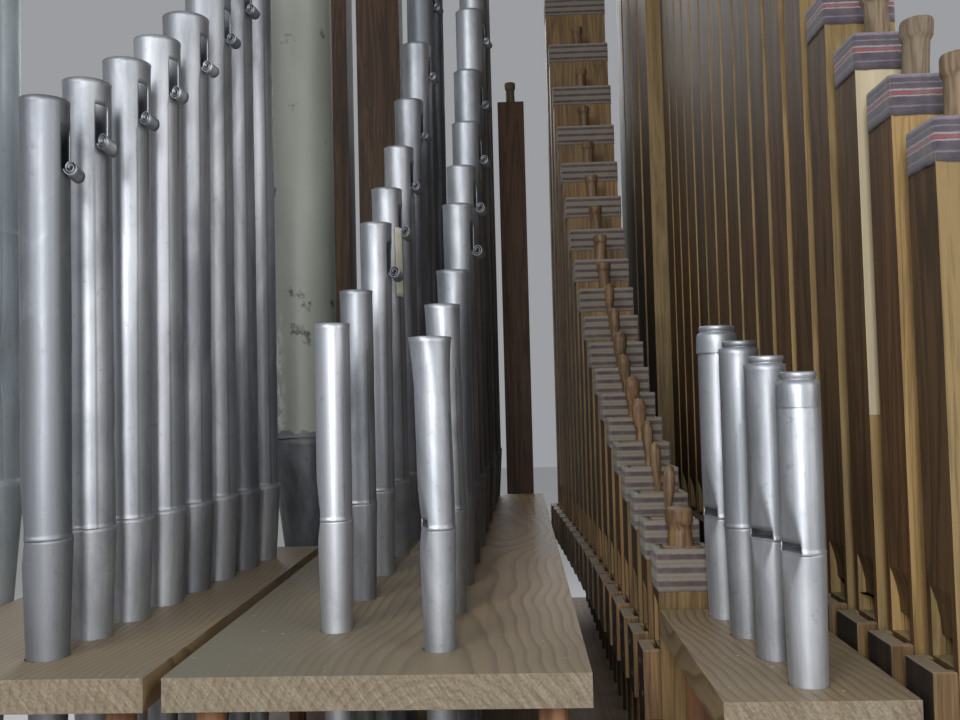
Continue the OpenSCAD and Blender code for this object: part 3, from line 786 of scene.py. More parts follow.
def timber(name, pale, dark, along=2, ring=26.0, dusty=0.25, front=None, rough=0.55, run=0.07):
    """Wood with its grain along one axis; front is a painted shade colour on faces towards -X."""
    look = Look(name)
    tone = look.tone()
    shift = {i: look.times(tone, 7.0 + i) for i in range(3)}
    apart = look.node("ShaderNodeCombineXYZ", shift).outputs[0]
    sum_of = {0: look.coords, 1: apart}
    moved = look.node("ShaderNodeVectorMath", sum_of, operation="ADD").outputs[0]
    stretch, pore_stretch = [1.0, 1.0, 1.0], [1.0, 1.0, 1.0]
    stretch[along], pore_stretch[along] = run, 0.03
    rings = look.noise(ring, 4.0, 0.55, stretch, 1.6, at=moved)
    bands = look.maths("PINGPONG", look.times(rings, RINGS_IN_NOISE), 1.0)
    fine = look.noise(420.0, 3.0, 0.7, pore_stretch, at=moved)
    broad = look.noise(4.0, 5.0, 0.6, stretch, at=moved)
    wood = look.ramp(bands, (0.1, dark), (0.75, pale))
    wood = look.mix(look.mask(broad, 0.35, 0.7, top=0.45), wood, toned(dark, 0.6))
    # Painted shade: faces towards -X take the darker front colour.
    if front:
        side = look.line(look.facing("X"), -4.0, -2.0, clamp=True)
        wood = look.mix(side, wood, look.ramp(bands, (0.1, toned(front, 0.55)), (0.8, front)))
    tint = look.ramp(tone, (0.0, DARK_TINT), (0.5, grey(0.92)), (1.0, PALE_TINT))
    wood = look.mix(1.0, wood, tint, "MULTIPLY")
    wood = look.mix(look.times(look.mask(fine, 0.52, 0.66), 0.5), wood, toned(dark, 0.35))
    lying = look.line(look.facing("Z"), 1.6, -0.6, clamp=True)
    cloud = look.noise(30.0, 5.0, 0.6)
    dust = look.times(look.times(lying, cloud), dusty * 2.2, clamp=True)
    relief = look.plus(look.times(bands, 0.5), fine)
    look.plug(
        Base_Color=look.mix(dust, wood, WOOD_DUST),
        Roughness=look.line(fine, 0.25, rough - 0.1),
        Specular_IOR_Level=0.28,
        Normal=look.bump(relief, 0.0005, 0.5),
    )
    print("timber:", name, len(look.tree.nodes), "nodes")
    return look.material


RED_PALE, RED_DARK = (0.26, 0.115, 0.05), (0.12, 0.045, 0.02)
POST_PALE, POST_DARK = (0.24, 0.12, 0.06), (0.12, 0.055, 0.028)
LONG_RUN = 0.028  # the chest's long boards draw their rings out further
chest_pine = timber("chest_pine", RED_PALE, RED_DARK, along=1, ring=22.0, dusty=0.4, run=LONG_RUN)
cross_pine = timber("cross_pine", RED_PALE, RED_DARK, along=0, ring=22.0, dusty=0.4, run=LONG_RUN)
post_pine = timber("post_pine", POST_PALE, POST_DARK, ring=20.0, dusty=0.2, run=LONG_RUN)
# Each front colour below is painted shade, for the faces towards -X.
small_pipe_wood = timber(
    "small_pipe_wood",
    (0.20, 0.125, 0.048),
    (0.11, 0.066, 0.026),
    ring=40.0,
    dusty=0.15,
    front=(0.090, 0.052, 0.023),
)
tall_pipe_wood = timber(
    "tall_pipe_wood",
    (0.255, 0.182, 0.080),
    (0.178, 0.121, 0.048),
    ring=38.0,
    dusty=0.1,
    front=(0.090, 0.050, 0.021),
)
# Painted shade: this near-black wood is for the rear rank's left pipes, which stand in shade.
dark_pipe_wood = timber(
    "dark_pipe_wood", (0.085, 0.045, 0.022), (0.04, 0.02, 0.01), ring=34.0, dusty=0.2
)
cap_oak = timber(
    "cap_oak",
    (0.19, 0.118, 0.052),
    (0.115, 0.068, 0.030),
    ring=45.0,
    dusty=0.45,
    front=(0.024, 0.017, 0.012),
)
turned_pear = timber(
    "turned_pear", (0.185, 0.120, 0.064), (0.098, 0.059, 0.031), ring=60.0, rough=0.45
)
turned_cork = timber(
    "turned_cork", (0.205, 0.160, 0.112), (0.122, 0.090, 0.058), ring=60.0, rough=0.75
)

# %% [markdown]
# One tall pipe was mended: above a butt joint, its side towards the treble end is fresh pale
# pine. Its material starts as a copy of the rank's wood, whose colour gives way above the joint.
# %% The mended pipe's wood
JOINT_Z = 1.092
FRESH_DARK, FRESH_PALE = (0.28, 0.235, 0.150), (0.37, 0.32, 0.215)


def patched_timber():
    """The tall rank's wood, with fresh pale pine let in above the joint."""
    look = Look("patched_pipe_wood", base=tall_pipe_wood)
    old = look.shader.inputs["Base Color"].links[0].from_socket
    above = look.maths("GREATER_THAN", look.split(look.coords)["Z"], JOINT_Z)
    nearer = look.maths("LESS_THAN", look.facing("Y"), -0.5)
    grain = look.noise(120.0, 4.0, 0.6, (1, 1, 0.04))
    fresh = look.ramp(grain, (0.3, FRESH_DARK), (0.7, FRESH_PALE))
    look.plug(Base_Color=look.mix(look.times(above, nearer), old, fresh))
    return look.material


patched_pipe_wood = patched_timber()
print("fresh wood starts", JOINT_Z, "m above the floor")

# %% [markdown]
# A rack board is wide and flat-sawn, and its grain can be had from its tree: every point's
# distance from the tree's heart, which wanders as it runs along the board, is counted in yearly
# rings. On the top that gives the long pointed waves of flat-sawn pine, and on the sawn end the
# arcs of the rings. The sawn end is rough, with the saw's slanting teeth marks. Grey-olive dust
# lies on the side that no sleeve reaches. The side that sleeves rub is glossy, and a painted
# reflection makes it paler.
# %% Rack board pine
RING_WIDTH = 0.0060
HEART = (0.035, 0.885)  # the heart's mean place: across the chest, and above the floor
EARLY, LATE = (0.222, 0.172, 0.105), (0.136, 0.098, 0.055)
BOARD_DUST, CRUMB = (0.150, 0.138, 0.102), (0.42, 0.40, 0.35)
TORN_DARK, TORN, TORN_PALE = (0.062, 0.052, 0.038), (0.132, 0.114, 0.084), (0.240, 0.220, 0.178)
LEFT_BOARD_END, MIDDLE_BOARD_END = -0.155, 0.13  # their right ends, in X


def growth(look, at):
    """Place within the year's ring: the part of a ring's width that is left over."""
    drift = look.noise(1.9, 3.0, 0.5, (0.25, 1.0, 0.05), 0.3)
    sway = look.noise(2.6, 2.0, 0.5, (0.3, 1.0, 0.05))
    kinks = look.noise(38.0, 3.0, 0.5, (1.0, 0.35, 1.0))
    from_x = look.plus(at["X"], look.line(drift, 0.20, -0.10 - HEART[0]))
    from_z = look.plus(at["Z"], look.line(sway, 0.07, -0.035 - HEART[1]))
    squares = look.line(from_z, from_z, look.times(from_x, from_x))
    radius = look.plus(look.maths("SQRT", squares), look.times(kinks, 0.0045))
    return look.maths("FRACT", look.maths("DIVIDE", radius, RING_WIDTH))


def dust_film(look, at, lying):
    """Dust on what lies flat, thick towards the left and the near end."""
    left = look.line(at["X"], -5.0, 0.25, clamp=True)
    near = look.line(at["Y"], -3.2, -0.9, clamp=True)
    on_left_board = look.maths("LESS_THAN", at["X"], LEFT_BOARD_END)
    own_board = look.line(on_left_board, -0.38, 0.6)
    sheltered = look.line(left, own_board, look.times(near, 0.30))
    film = look.times(sheltered, look.noise(7.0, 5.0, 0.6))
    return look.times(look.times(film, lying), 2.3, clamp=True)


def rubbed_gloss_and_reflection(look, at, lying):
    """Sleeves' gloss plus painted reflection: middle board's right side, away from its near end."""
    right = look.line(at["X"], 14.0, -0.1, clamp=True)
    side = look.times(right, look.maths("LESS_THAN", at["X"], MIDDLE_BOARD_END))
    far = look.line(at["Y"], 4.0, 1.9, clamp=True)
    return look.times(look.times(side, far), lying)


def flat_sawn():
    """Board pine: yearly rings, dust and gloss with a painted reflection on top, a torn sawn end.
    """
    look = Look("rack_pine")
    at = look.split(look.coords)
    year = growth(look, at)
    wood = look.ramp(year, (0.0, LATE), (0.12, EARLY), (0.62, toned(EARLY, 0.9)), (0.93, LATE))
    streaks = look.noise(260.0, 4.0, 0.7, (1.0, 0.03, 1.0))
    wood = look.mix(0.35, wood, look.mask(streaks, 0.3, 0.7, 0.55, 1.15), "MULTIPLY")
    tint = look.ramp(look.tone(), (0.0, grey(0.85)), (1.0, (1.12, 1.02, 0.9)))
    wood = look.mix(1.0, wood, tint, "MULTIPLY")

    lying = look.line(look.facing("Z"), 2.0, -1.0, clamp=True)
    dust, polish_and_painted_reflection = dust_film(look, at, lying), rubbed_gloss_and_reflection(look, at, lying)
    top = look.mix(dust, wood, BOARD_DUST)
    # Painted reflection: where sleeves rub, the top's colour is multiplied up to look paler.
    top = look.mix(polish_and_painted_reflection, top, look.mix(1.0, top, (1.95, 1.75, 1.45), "MULTIPLY"))
    crumbs = look.mask(look.noise(210.0, 2.0), 0.735, 0.75, top=0.8)
    top = look.mix(look.times(crumbs, lying), top, CRUMB)

    saw_cut = {"Vector": look.coords, "Rotation": (0.0, np.radians(38), 0.0)}
    slanted = look.node("ShaderNodeMapping", saw_cut).outputs[0]
    strokes = look.noise(620.0, 4.0, 0.7, (1.0, 1.0, 0.10), at=slanted)
    teeth = look.mix(0.5, strokes, look.noise(560.0, 5.0, 0.75))
    torn = look.ramp(teeth, (0.38, TORN_DARK), (0.5, TORN), (0.62, TORN_PALE))
    at_end = look.line(look.maths("ABSOLUTE", look.facing("Y")), 4.0, -2.4, clamp=True)
    planed = look.times(look.plus(year, look.times(streaks, 0.6)), 0.35)
    dull = look.line(look.plus(dust, at_end, clamp=True), 0.35, 0.42)
    look.plug(
        Base_Color=look.mix(at_end, top, look.mix(0.35, torn, wood)),
        Roughness=look.line(polish_and_painted_reflection, -0.16, dull),
        Normal=look.bump(look.mix(at_end, planed, teeth), 0.0012, 0.7),
    )
    return look.material


rack_pine = flat_sawn()
print("yearly rings", RING_WIDTH * 1000, "mm wide")

# %% [markdown]
# Boards that were planed by hand have no sharp arrises. Each timber node is copied, its doubles
# are merged, its flat faces are joined, and a small bevel rounds the edges. The copy keeps the
# frame's shape to a fraction of a millimetre, and every solid gets its own tone.
# %% Copy a node with eased edges
SMALL_RANK_X = 0.15


def worn_copy(node_name, piece_name, material, slot, round_off, where=None):
    """A copy of a node as closed faces with eased edges; where picks solids by their middles."""
    points, triangles = node_triangles(node_name)
    label = solid_labels(points, triangles)
    rng = np.random.default_rng(sum(map(ord, node_name)))
    names, which = np.unique(label, return_inverse=True)
    tones = rng.uniform(0, 1, len(names))
    if where is not None:
        sums = np.stack([np.bincount(which, points[:, i]) for i in range(3)], -1)
        chosen = where(sums / np.bincount(which)[:, None])
        triangles = triangles[chosen[which[triangles[:, 0]]]]
        used, triangles = np.unique(triangles, return_inverse=True)
        points, which, triangles = points[used], which[used], triangles.reshape(-1, 3)
    work = Patchwork()
    work.add(points, triangles, tones[which])
    piece = work.build(piece_name, material, smooth=False, slot=slot, replaces=[node_name])
    flat = piece.modifiers.new("join_flats", "DECIMATE")
    flat.decimate_type = "DISSOLVE"
    flat.angle_limit = np.radians(1.0)
    ease = piece.modifiers.new("eased_edges", "BEVEL")
    ease.width = round_off
    ease.segments = 2
    ease.limit_method = "ANGLE"
    ease.angle_limit = np.radians(50)
    ease.use_clamp_overlap = True


def on_left(middles):
    """Solids on the left of the small rank's line."""
    return middles[:, 0] < SMALL_RANK_X


def on_right(middles):
    return ~on_left(middles)


def third(middles):
    """The third pipe from the treble end."""
    return np.argsort(np.argsort(middles[:, 1])) == 2


def not_third(middles):
    return ~third(middles)


print("solids in the upperboards:", len(solid_boxes("upperboards")))

# %% [markdown]
# Two nodes hold pipes of two looks, so each is copied twice, with its solids picked by place.
# The rear rank's left pipes are dark with painted shade.
# The last number of a row is the edge's rounding, which is most on the frame's rough posts and
# least on thin parts that were planed true. The oak feet, blocks and caps are alike in all ranks.
# %% Timber pieces
TIMBERS = [
    ("frame_legs", "timber_legs", post_pine, "frame_timber", 0.003),
    ("frame_long_rails", "timber_long_rails", chest_pine, "frame_timber", 0.002),
    ("frame_cross_rails", "timber_cross_rails", cross_pine, "frame_timber", 0.002),
    ("pallet_box_floor", "box_floor", chest_pine, "chest_timber", 0.0015),
    ("pallet_box_sides", "box_sides", chest_pine, "chest_timber", 0.0015),
    ("treble_end_board", "box_treble_end", cross_pine, "chest_timber", 0.0015),
    ("bass_end_board", "box_bass_end", cross_pine, "chest_timber", 0.0015),
    ("channel_grid", "grid_of_channels", chest_pine, "chest_timber", 0.001),
    ("chest_table", "table", chest_pine, "chest_timber", 0.0008),
    ("slider_bearers", "bearers", chest_pine, "chest_timber", 0.0005),
    ("sliders", "slider_strips", chest_pine, "chest_timber", 0.0005),
    ("upperboards", "upper_boards", chest_pine, "chest_timber", 0.0012),
    ("rack_pillars", "pillars", post_pine, "chest_timber", 0.0006),
    ("left_rack_board", "left_board", rack_pine, "rack_pine", 0.0016),
    ("middle_rack_board", "middle_board", rack_pine, "rack_pine", 0.0016),
    ("treble_rack_board", "treble_board", rack_pine, "rack_pine", 0.0016),
    ("small_wood_bodies", "small_bodies", small_pipe_wood, "pipe_timber", 0.0007),
    ("tall_wood_bodies", "tall_bodies", tall_pipe_wood, "pipe_timber", 0.0007, not_third),
    ("tall_wood_bodies", "patched_body", patched_pipe_wood, "pipe_timber", 0.0007, third),
    ("rear_wood_bodies", "rear_left_bodies", dark_pipe_wood, "pipe_timber", 0.0008, on_left),
    ("rear_wood_bodies", "rear_right_bodies", tall_pipe_wood, "pipe_timber", 0.0008, on_right),
]
OAK_PARTS = {"feet": 0.0005, "blocks": 0.0004, "caps": 0.0009}
WOODEN_RANKS = ("small", "tall", "rear")
for row in TIMBERS:
    worn_copy(*row)
for rank in WOODEN_RANKS:
    for part, round_off in OAK_PARTS.items():
        worn_copy(f"{rank}_wood_{part}", f"{rank}_{part}", cap_oak, "pipe_timber", round_off)

# %% [markdown]
# A stopper is tuned by its handle, so each rank's turner gave it a shape to grip: clubs that
# fatten upwards on the small pipes, and cork-like heads over a neck on the tall ones. Both are
# turned pieces, so both are a profile of radius against height carried around an axis. The tall
# ones were turned with a slack lathe and are left a little out of round.
# %% Stopper handles
HANDLE_COLUMNS = 20
HANDLE_LEAN = 0.06
PLUG_EDGE = 0.001  # the plug's top edge is drawn in over this height


def turned(profile_z, profile_r, cx, cy, base, seed, wobble, around=HANDLE_COLUMNS):
    """A profile turned round a vertical axis, closed at the top by a last small ring."""
    turn = np.linspace(0, 2 * np.pi, around, endpoint=False)
    z, u = np.meshgrid(profile_z, turn, indexing="ij")
    r = np.asarray(profile_r)[:, None] * (1 + waves(seed, u, z * 60, wobble))
    tip = np.random.default_rng(seed).uniform(-HANDLE_LEAN, HANDLE_LEAN, 2)
    x, y = cx + r * np.cos(u) + tip[0] * z, cy + r * np.sin(u) + tip[1] * z
    return np.stack([x, y, base + z], -1), grid_faces(len(profile_z), around, True)


def smooth_profile(knots, count):
    """Radius against height through (height, radius) knots, eased by a cosine between them."""
    heights, radii = np.array(knots).T
    z = np.linspace(heights[0], heights[-1], count)
    i = np.clip(np.searchsorted(heights, z, side="right") - 1, 0, len(heights) - 2)
    t = (z - heights[i]) / (heights[i + 1] - heights[i])
    return z, radii[i] + (radii[i + 1] - radii[i]) * (0.5 - 0.5 * np.cos(np.pi * t))


CLUB = [
    (-0.002, 0.66),
    (0.008, 0.60),
    (0.024, 0.94),
    (0.033, 1.0),
    (0.0395, 0.78),
    (0.0424, 0.36),
]
CLUB_TALL = 0.0427
CLUB_RADII = [0.0048, 0.0049, 0.0052, 0.0072, 0.0080, 0.0068, 0.0078, 0.0070, 0.0062]
CORK = [
    (-0.002, 0.0080),
    (0.010, 0.0076),
    (0.0235, 0.0077),
    (0.0252, 0.0085),
    (0.0266, 0.0093),
    (0.0345, 0.0094),
    (0.0368, 0.0086),
    (0.0375, 0.0045),
    (0.0376, 0.0001),
]
CORK_TALL = 0.0376
KNOB = [
    (-0.002, 0.0098),
    (0.008, 0.0092),
    (0.013, 0.0085),
    (0.019, 0.0105),
    (0.0275, 0.0102),
    (0.0300, 0.005),
    (0.0302, 0.0001),
]


def club(thick):
    """A club of the given greatest radius, thin at its neck and full near its top."""
    return [(height, thick * part) for height, part in CLUB] + [(CLUB_TALL, 0.0001)]


SMALL_HANDLES = [KNOB] + [club(thick) for thick in CLUB_RADII]


def stoppers(rank, handles, handle_tall, rows, material, wobble):
    """Handle and plug of each stopper; corks follow where the list of handles ends."""
    work, node_name, name = Patchwork(), rank + "_wood_stoppers", rank + "_rank"
    for k, (low, high) in enumerate(solid_boxes(node_name)):
        cx, cy, hx, hy = plan((low, high))
        plug_top = high[2] - handle_tall
        z, r = smooth_profile(handles[k] if k < len(handles) else CORK, rows)
        tone = float(np.random.default_rng(k + 5).uniform(0, 1))
        seed = 70 * len(name) + k
        work.add(*turned(z, r, cx, cy, plug_top, seed, wobble), tone)
        ring = np.array([[-hx, -hy], [hx, -hy], [hx, hy], [-hx, hy]])
        heights = np.array([low[2], plug_top - PLUG_EDGE, plug_top])
        inset = np.array([1.0, 1.0, 0.96])
        xy = ring[None] * inset[:, None, None] + np.array([cx, cy])
        solid = np.concatenate([xy, np.broadcast_to(heights[:, None, None], (3, 4, 1))], -1)
        faces = np.concatenate([grid_faces(3, 4, True), [[8, 9, 10, 11]], [[3, 2, 1, 0]]])
        work.add(solid, faces, tone)
    work.build(name + "_stoppers", material, slot="turned_timber", replaces=[node_name])


stoppers("small", SMALL_HANDLES, CLUB_TALL, 24, turned_pear, 0.06)
stoppers("tall", [], CORK_TALL, 26, turned_cork, 0.075)
stoppers("rear", [], CORK_TALL, 26, turned_cork, 0.075)

# %% [markdown]
# The strips round the wooden pipes were torn from plaid cotton. The pattern has to follow the
# strip and not the room, so each point carries its place on the cloth as UV, in metres: along
# the strip first, then up from its lower edge. The stripes are a ramp over the second, crossed
# by faint ones over the first, and a weave of two sines gives the threads.
# %% Plaid cloth
THREAD = 0.0011
CROSS_EVERY = 0.021
CLOTH_DUST, THREAD_GAP_PAINTED_SHADE = (0.26, 0.235, 0.20), (0.03, 0.03, 0.035)


def plaid(name, stripes, tall, cross_colour, cross):
    """Striped cotton; stripes are ramp stops over the strip's height, which is tall."""
    look = Look(name)
    uv = look.node("ShaderNodeUVMap", uv_map="surface").outputs[0]
    at = look.split(uv)
    up = look.maths("DIVIDE", at["Y"], tall, clamp=True)
    jitter = look.line(look.noise(300.0, 3.0, 0.6, at=uv), 0.05, -0.025)
    base = look.ramp(look.plus(up, jitter, clamp=True), *stripes)
    across = look.maths("SINE", look.times(at["X"], 2 * np.pi / CROSS_EVERY))
    crossed = look.mix(look.line(across, cross, -cross * 0.73, clamp=True), base, cross_colour)
    warp, weft = (look.maths("SINE", look.times(at[i], 2 * np.pi / THREAD)) for i in ("X", "Y"))
    threads = look.times(warp, weft)
    dust = look.mask(look.noise(60.0, 5.0, at=uv), 0.4, 0.75, top=0.28)
    dusted = look.mix(dust, crossed, CLOTH_DUST)
    look.plug(
        # Painted shade: the weave's gaps between the threads are darkened.
        Base_Color=look.mix(look.line(threads, 0.12, 0.12), dusted, THREAD_GAP_PAINTED_SHADE),
        Roughness=0.92,
        Sheen_Weight=0.25,
        Normal=look.bump(threads, 0.00025, 0.8),
    )
    print("cotton:", name, len(stripes), "stops over", round(tall * 1000), "mm")
    return look.material


PALE, MIST, PLUM = (0.235, 0.205, 0.155), (0.170, 0.150, 0.116), (0.068, 0.038, 0.044)
SMALL_PLACES = [0.0, 0.08, 0.13, 0.22, 0.27, 0.34, 0.40, 0.45]
SMALL_PLACES += [0.54, 0.59, 0.66, 0.72, 0.77, 0.86, 0.91, 1.0]
SMALL_COLOURS = [MIST, PALE, PLUM, PLUM, PALE, MIST, PALE, PLUM]
SMALL_COLOURS += [PLUM, PALE, MIST, PALE, PLUM, PLUM, PALE, MIST]
small_stripes = list(zip(SMALL_PLACES, SMALL_COLOURS, strict=True))
DUSK, LILAC, RED = (0.042, 0.030, 0.050), (0.155, 0.130, 0.175), (0.26, 0.03, 0.04)
CHALK, HEM = (0.33, 0.28, 0.30), (0.11, 0.095, 0.125)
TALL_PLACES = [0.0, 0.18, 0.21, 0.25, 0.43, 0.465, 0.49, 0.515, 0.545]
TALL_PLACES += [0.565, 0.61, 0.64, 0.74, 0.77, 0.80, 0.88, 0.92, 1.0]
TALL_COLOURS = [DUSK, DUSK, LILAC, DUSK, DUSK, CHALK, DUSK, RED, RED]
TALL_COLOURS += [DUSK, CHALK, DUSK, DUSK, LILAC, DUSK, DUSK, LILAC, HEM]
tall_stripes = list(zip(TALL_PLACES, TALL_COLOURS, strict=True))
small_cotton = plaid("small_cotton", small_stripes, 0.031, (0.15, 0.13, 0.12), 0.6)
tall_cotton = plaid("tall_cotton", tall_stripes, 0.024, (0.03, 0.022, 0.035), 1.1)

# %% [markdown]
# A strip is its outline, a rounded rectangle, carried up the pipe. It bulges a little towards its
# ragged lower edge, and its last two rows turn inwards over the top of the pipe's wall. The
# lengths of the strips are added up.
# %% Cloth strips
CLOTH_CORNER, CLOTH_SHY = 0.0025, 0.0004
CLOTH_THICK = 0.0006
UPRIGHT_ROWS = 9
FOLD_INWARD = [0.0005, 0.0045]
BULGE_OUT, BULGE_TALL = 0.0005, 0.012
CREASE_DEEP = 0.0002
RAGGED, RAGGED_TALL = 0.0009, 0.004


def strip_outline(hx, hy):
    """A rounded rectangle of half sides hx and hy: four arcs, with straight runs between."""
    quarter = np.linspace(0, np.pi / 2, 4)
    arcs = []
    for sx, sy, start in ((1, 1, 0.0), (-1, 1, 0.5), (-1, -1, 1.0), (1, -1, 1.5)):
        bend = quarter + start * np.pi
        arc_x = sx * (hx - CLOTH_CORNER) + CLOTH_CORNER * np.cos(bend)
        arc_y = sy * (hy - CLOTH_CORNER) + CLOTH_CORNER * np.sin(bend)
        arcs.append(np.stack([arc_x, arc_y], -1))
    t = np.linspace(0, 1, 10)[1:-1, None]
    outline = []
    for here, there in zip(arcs, arcs[1:] + arcs[:1], strict=True):
        outline += [here, here[-1] * (1 - t) + there[0] * t]
    return np.concatenate(outline)


def strip_surface(low, high, seed):
    """Points, quads, UV and length of a strip that is turned in over the pipe's top edge."""
    cx, cy, half_x, half_y = plan((low, high))
    outline = strip_outline(half_x - CLOTH_SHY, half_y - CLOTH_SHY)
    step = np.linalg.norm(np.roll(outline, -1, axis=0) - outline, axis=1)
    run = np.concatenate([[0], np.cumsum(step)[:-1]])
    tall = high[2] - low[2]
    rise = np.concatenate([np.linspace(0, tall - 0.0012, UPRIGHT_ROWS), [tall - 0.0004, tall]])
    inward = np.concatenate([np.zeros(UPRIGHT_ROWS), FOLD_INWARD])
    h, s = np.meshgrid(rise, run, indexing="ij")
    out_dir = outline / np.linalg.norm(outline, axis=1)[:, None]
    bulge = waves(seed + 1, s * 130, h * 120, BULGE_OUT) * np.exp(-h / BULGE_TALL)
    creased = bulge + waves(seed + 2, s * 60, h * 50, CREASE_DEEP)
    shift = creased + CREASE_DEEP - inward[:, None] * 1.1
    ragged = waves(seed + 3, s * 420, h * 0, RAGGED) * np.exp(-h / RAGGED_TALL)
    xy = outline[None] + out_dir[None] * shift[..., None]
    points = np.concatenate([xy + np.array([cx, cy]), (low[2] + h + ragged)[..., None]], -1)
    uv = np.stack([s + np.random.default_rng(seed).uniform(0, 0.02), h], -1)
    uv[..., 1] = np.minimum(uv[..., 1] + inward[:, None], tall)
    return points, grid_faces(len(rise), len(run), True), uv, float(run[-1] + step[-1])


def cloth_strips(rank, material):
    """All the strips of one wooden rank, as one piece."""
    node_name, name = rank + "_wood_cloths", rank + "_rank"
    work, length, boxes = Patchwork(), 0.0, solid_boxes(node_name)
    for k, (low, high) in enumerate(boxes):
        points, quads, uv, round_about = strip_surface(low, high, 300 * len(name) + k)
        work.add(points, quads, 0.5, uv)
        length += round_about
    built = work.build(name + "_cloth_strips", material, slot="plaid_cloth", replaces=[node_name])
    piece = thicken(built, CLOTH_THICK)


cloth_strips("small", small_cotton)
cloth_strips("tall", tall_cotton)

# %% [markdown]
# The four stopped metal trebles end in a canister: a short cap that slides over the tube, with
# a rounded shoulder, a dark groove, and a narrower rim that stands up like a collar. Only on the
# last one does the skirt's edge stand proud of the tube. On the others it is worn down flush.
# %% Treble canisters
CAP_SHY = 0.0008
CAP_COLUMNS, CAP_WOBBLE = 40, 0.012
SKIRT_PROUD, SKIRT_FLUSH = 0.0008, -0.0003
CAP_Z = [0, 0.03, 0.35, 0.60, 0.66, 0.71, 0.75, 0.775, 0.79, 0.82, 0.90, 0.96, 1.0, 1.0, 0.985]
CAP_IN_MM = [0.0, 0.0, 0.0, 0.1, 0.5, 1.1, 1.8, 2.3, 2.3, 1.9, 1.5, 1.6, 2.3, 4.0]


def canisters(node_name):
    """The caps as turned pieces; CAP_IN_MM is how far each knot lies inside the skirt."""
    work, boxes = Patchwork(), solid_boxes(node_name)
    last = max(low[1] for low, _ in boxes)
    for k, (low, high) in enumerate(boxes):
        cx, cy, half, _ = plan((low, high))
        radius = half - CAP_SHY
        step = SKIRT_PROUD if low[1] == last else SKIRT_FLUSH
        inset = np.array(CAP_IN_MM + [radius * 1e3]) * 1e-3
        r = np.maximum(radius + step - inset, 1e-4)
        z = np.array(CAP_Z) * (high[2] - low[2])
        cap = turned(z, r, cx, cy, low[2], 40 + k, CAP_WOBBLE, CAP_COLUMNS)
        work.add(*cap, pipe_tone(900 + k))
    work.build("treble_canisters", tin, slot="pipe_metal", replaces=[node_name])


canisters("treble_caps")

# %% [markdown]
# The caps are held by iron screws with domed, slotted heads. A screw is repeated dozens of
# times, so each head is a low dome of a few faces with a dark slot pressed across it.
# %% Cap screws
HEAD_RADIUS, HEAD_RISE, HEAD_SLOT = 0.0028, 0.0011, 0.0005
HEAD_RINGS, HEAD_COLUMNS = np.array([1.0, 0.85, 0.5, 0.02]), 12
SCREW_PLACES = ((-1, 0.35), (1, 0.35), (0, 0.78))  # side of the middle, and part of the height


def iron():
    """Dark iron with patches of rust."""
    look = Look("screw_iron")
    rust = look.noise(240.0, 5.0, 0.65)
    colour = look.ramp(rust, (0.35, (0.10, 0.09, 0.085)), (0.7, (0.21, 0.12, 0.07)))
    relief = look.bump(rust, 0.0002, 0.5)
    look.plug(Base_Color=colour, Metallic=0.7, Roughness=0.55, Normal=relief)
    return look.material


def screw_heads(node_name, name, material):
    """Three domes on the front of each cap, looking along -X."""
    work = Patchwork()
    angle = np.linspace(0, 2 * np.pi, HEAD_COLUMNS, endpoint=False)
    size, u = np.meshgrid(HEAD_RINGS, angle, indexing="ij")
    for k, (low, high) in enumerate(solid_boxes(node_name)):
        middle = (low[1] + high[1]) / 2
        rng = np.random.default_rng(k + 77)
        for side, part in SCREW_PLACES:
            cy = middle + side * (high[1] - low[1]) * 0.3
            cz = low[2] + (high[2] - low[2]) * part
            in_slot = np.abs(size * np.sin(u - rng.uniform(0, np.pi))) < 0.16
            rise = HEAD_RISE * (1 - size**2) - HEAD_SLOT * in_slot + 0.0002
            y, z = cy + HEAD_RADIUS * size * np.cos(u), cz + HEAD_RADIUS * size * np.sin(u)
            points = np.stack([low[0] - rise, y, z], -1)
            work.add(points, grid_faces(*size.shape, True)[:, ::-1], 0.4)
    work.build(name, material, smooth=False, slot="pipe_metal")


screw_iron = iron()
for rank in WOODEN_RANKS:
    screw_heads(rank + "_wood_caps", rank + "_cap_screws", screw_iron)

# %% [markdown]
# A slip of paper is pasted on one pipe of the middle rank, and is left bare. It is a patch of the
# tube's own surface, lifted by the paper's thickness, with its corners curled a little.
# %% The paper slip
SLIP_PIPE, SLIP_SEED = 7, 11007  # the seed is its pipe's, so that it leans as the pipe does
SLIP_LOW, SLIP_HIGH, SLIP_WIDE = 1.215, 1.287, 0.010
SLIP_SIDE = np.radians(-38)
PAPER_THICK = 0.0002


def paper():
    """Old paper, stained in patches."""
    look = Look("bare_paper")
    stain = look.noise(90.0, 5.0, 0.6)
    colour = look.ramp(stain, (0.3, (0.45, 0.42, 0.33)), (0.7, (0.62, 0.60, 0.50)))
    look.plug(Base_Color=colour, Roughness=0.9)
    return look.material


def paper_slip(box):
    """Points at the tube's radius plus a little more towards the slip's sides."""
    cx, cy, _, radius = plan(box)
    turn = SLIP_SIDE + np.linspace(-0.5, 0.5, 9) * SLIP_WIDE / radius
    u, h = np.meshgrid(turn, np.linspace(SLIP_LOW, SLIP_HIGH, 14))
    dx, dy = lean(SLIP_SEED, h, box[0][2], box[1][2])
    r = radius + 0.0007 + 0.0005 * np.abs(np.sin((u - SLIP_SIDE) * 2)) ** 3
    points = np.stack([cx + dx + r * np.cos(u), cy + dy + r * np.sin(u), h], -1)
    work = Patchwork()
    work.add(points, grid_faces(*u.shape, False))
    thicken(work.build("paper_slip", paper(), slot="pipe_metal"), PAPER_THICK, 1.0)


paper_slip(solid_boxes("middle_rank_bodies")[SLIP_PIPE])

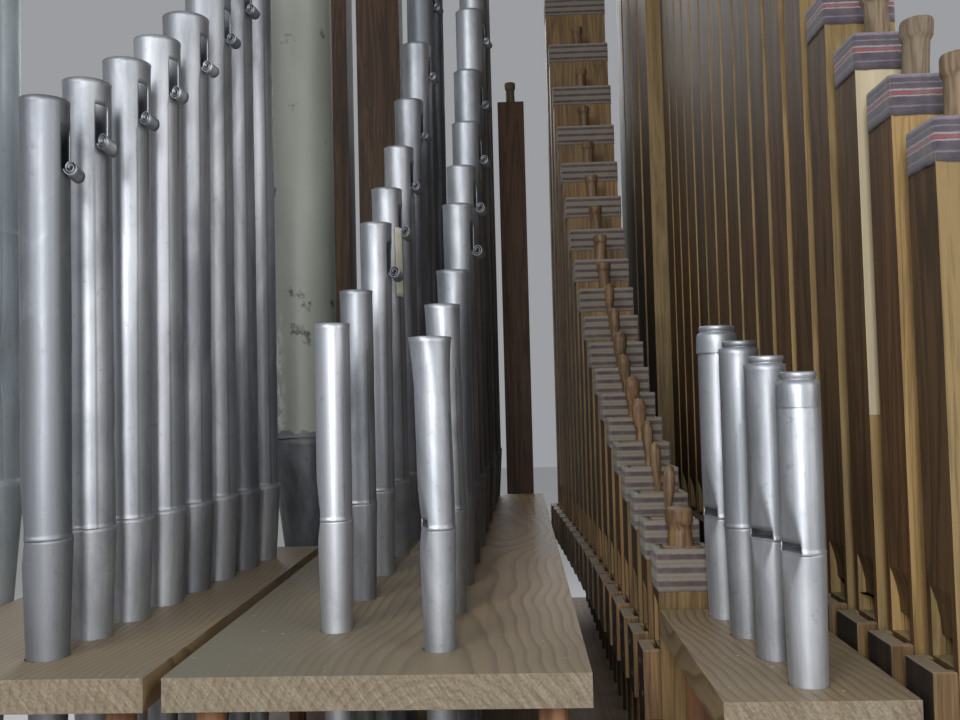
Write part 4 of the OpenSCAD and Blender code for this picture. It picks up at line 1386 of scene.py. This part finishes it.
# %% [markdown]
# The studio is a pale floor and soft light from three sides. Metal shows what surrounds it, so
# the world is an even pale grey, and the large lamps give the long highlights along the tubes.
# A small lamp near the camera brightens what faces it.
# %% Floor and light
FLOOR_HALF = 14.0
FLOOR_GREY, WORLD_GREY = (0.72, 0.72, 0.71), (0.78, 0.80, 0.83)
WORLD_STRENGTH = 0.42


def studio_floor():
    """One large pale square just below the legs."""
    material = bpy.data.materials.new("studio_floor")
    material.use_nodes = True
    shader = material.node_tree.nodes["Principled BSDF"]
    wire(material.node_tree, shader.inputs["Base Color"], FLOOR_GREY)
    shader.inputs["Roughness"].default_value = 0.9
    mesh = bpy.data.meshes.new("studio_floor")
    square = ((-1, -1), (1, -1), (1, 1), (-1, 1))
    corners = [(x * FLOOR_HALF, y * FLOOR_HALF, -0.001) for x, y in square]
    mesh.from_pydata(corners, [], [(0, 1, 2, 3)])
    mesh.materials.append(material)
    floor = bpy.data.objects.new("studio_floor", mesh)
    bpy.context.scene.collection.objects.link(floor)


def soft_lamp(name, place, target, size, power, colour=(1, 1, 1)):
    """An area lamp at a place, turned towards a target."""
    data = bpy.data.lights.new(name, "AREA")
    data.shape = "RECTANGLE"
    data.size, data.size_y = size
    data.energy = power
    data.color = colour
    lamp = bpy.data.objects.new(name, data)
    towards = Vector(target) - Vector(place)
    lamp.matrix_world = towards.to_track_quat("-Z", "Y").to_matrix().to_4x4()
    lamp.location = place
    bpy.context.scene.collection.objects.link(lamp)
    print("lamp", name, power, "W")


studio_floor()
world = bpy.data.worlds.new("studio")
bpy.context.scene.world = world
world.use_nodes = True
background = world.node_tree.nodes["Background"]
wire(world.node_tree, background.inputs["Color"], WORLD_GREY)
background.inputs["Strength"].default_value = WORLD_STRENGTH
soft_lamp("key", (-1.6, -3.2, 3.0), (0, 0, 1.2), (1.4, 1.4), 60)
soft_lamp("fill", (2.6, -2.2, 2.2), (0, 0, 1.1), (2.0, 2.0), 40, (1.0, 0.97, 0.93))
soft_lamp("back", (-0.6, 3.4, 3.4), (0, 0, 1.4), (2.0, 2.0), 60, (0.95, 0.97, 1.0))
soft_lamp("near", (-0.01, -1.50, 1.31), (0, 0, 1.16), (0.15, 0.62), 9)
bpy.context.scene.view_settings.view_transform = "Standard"
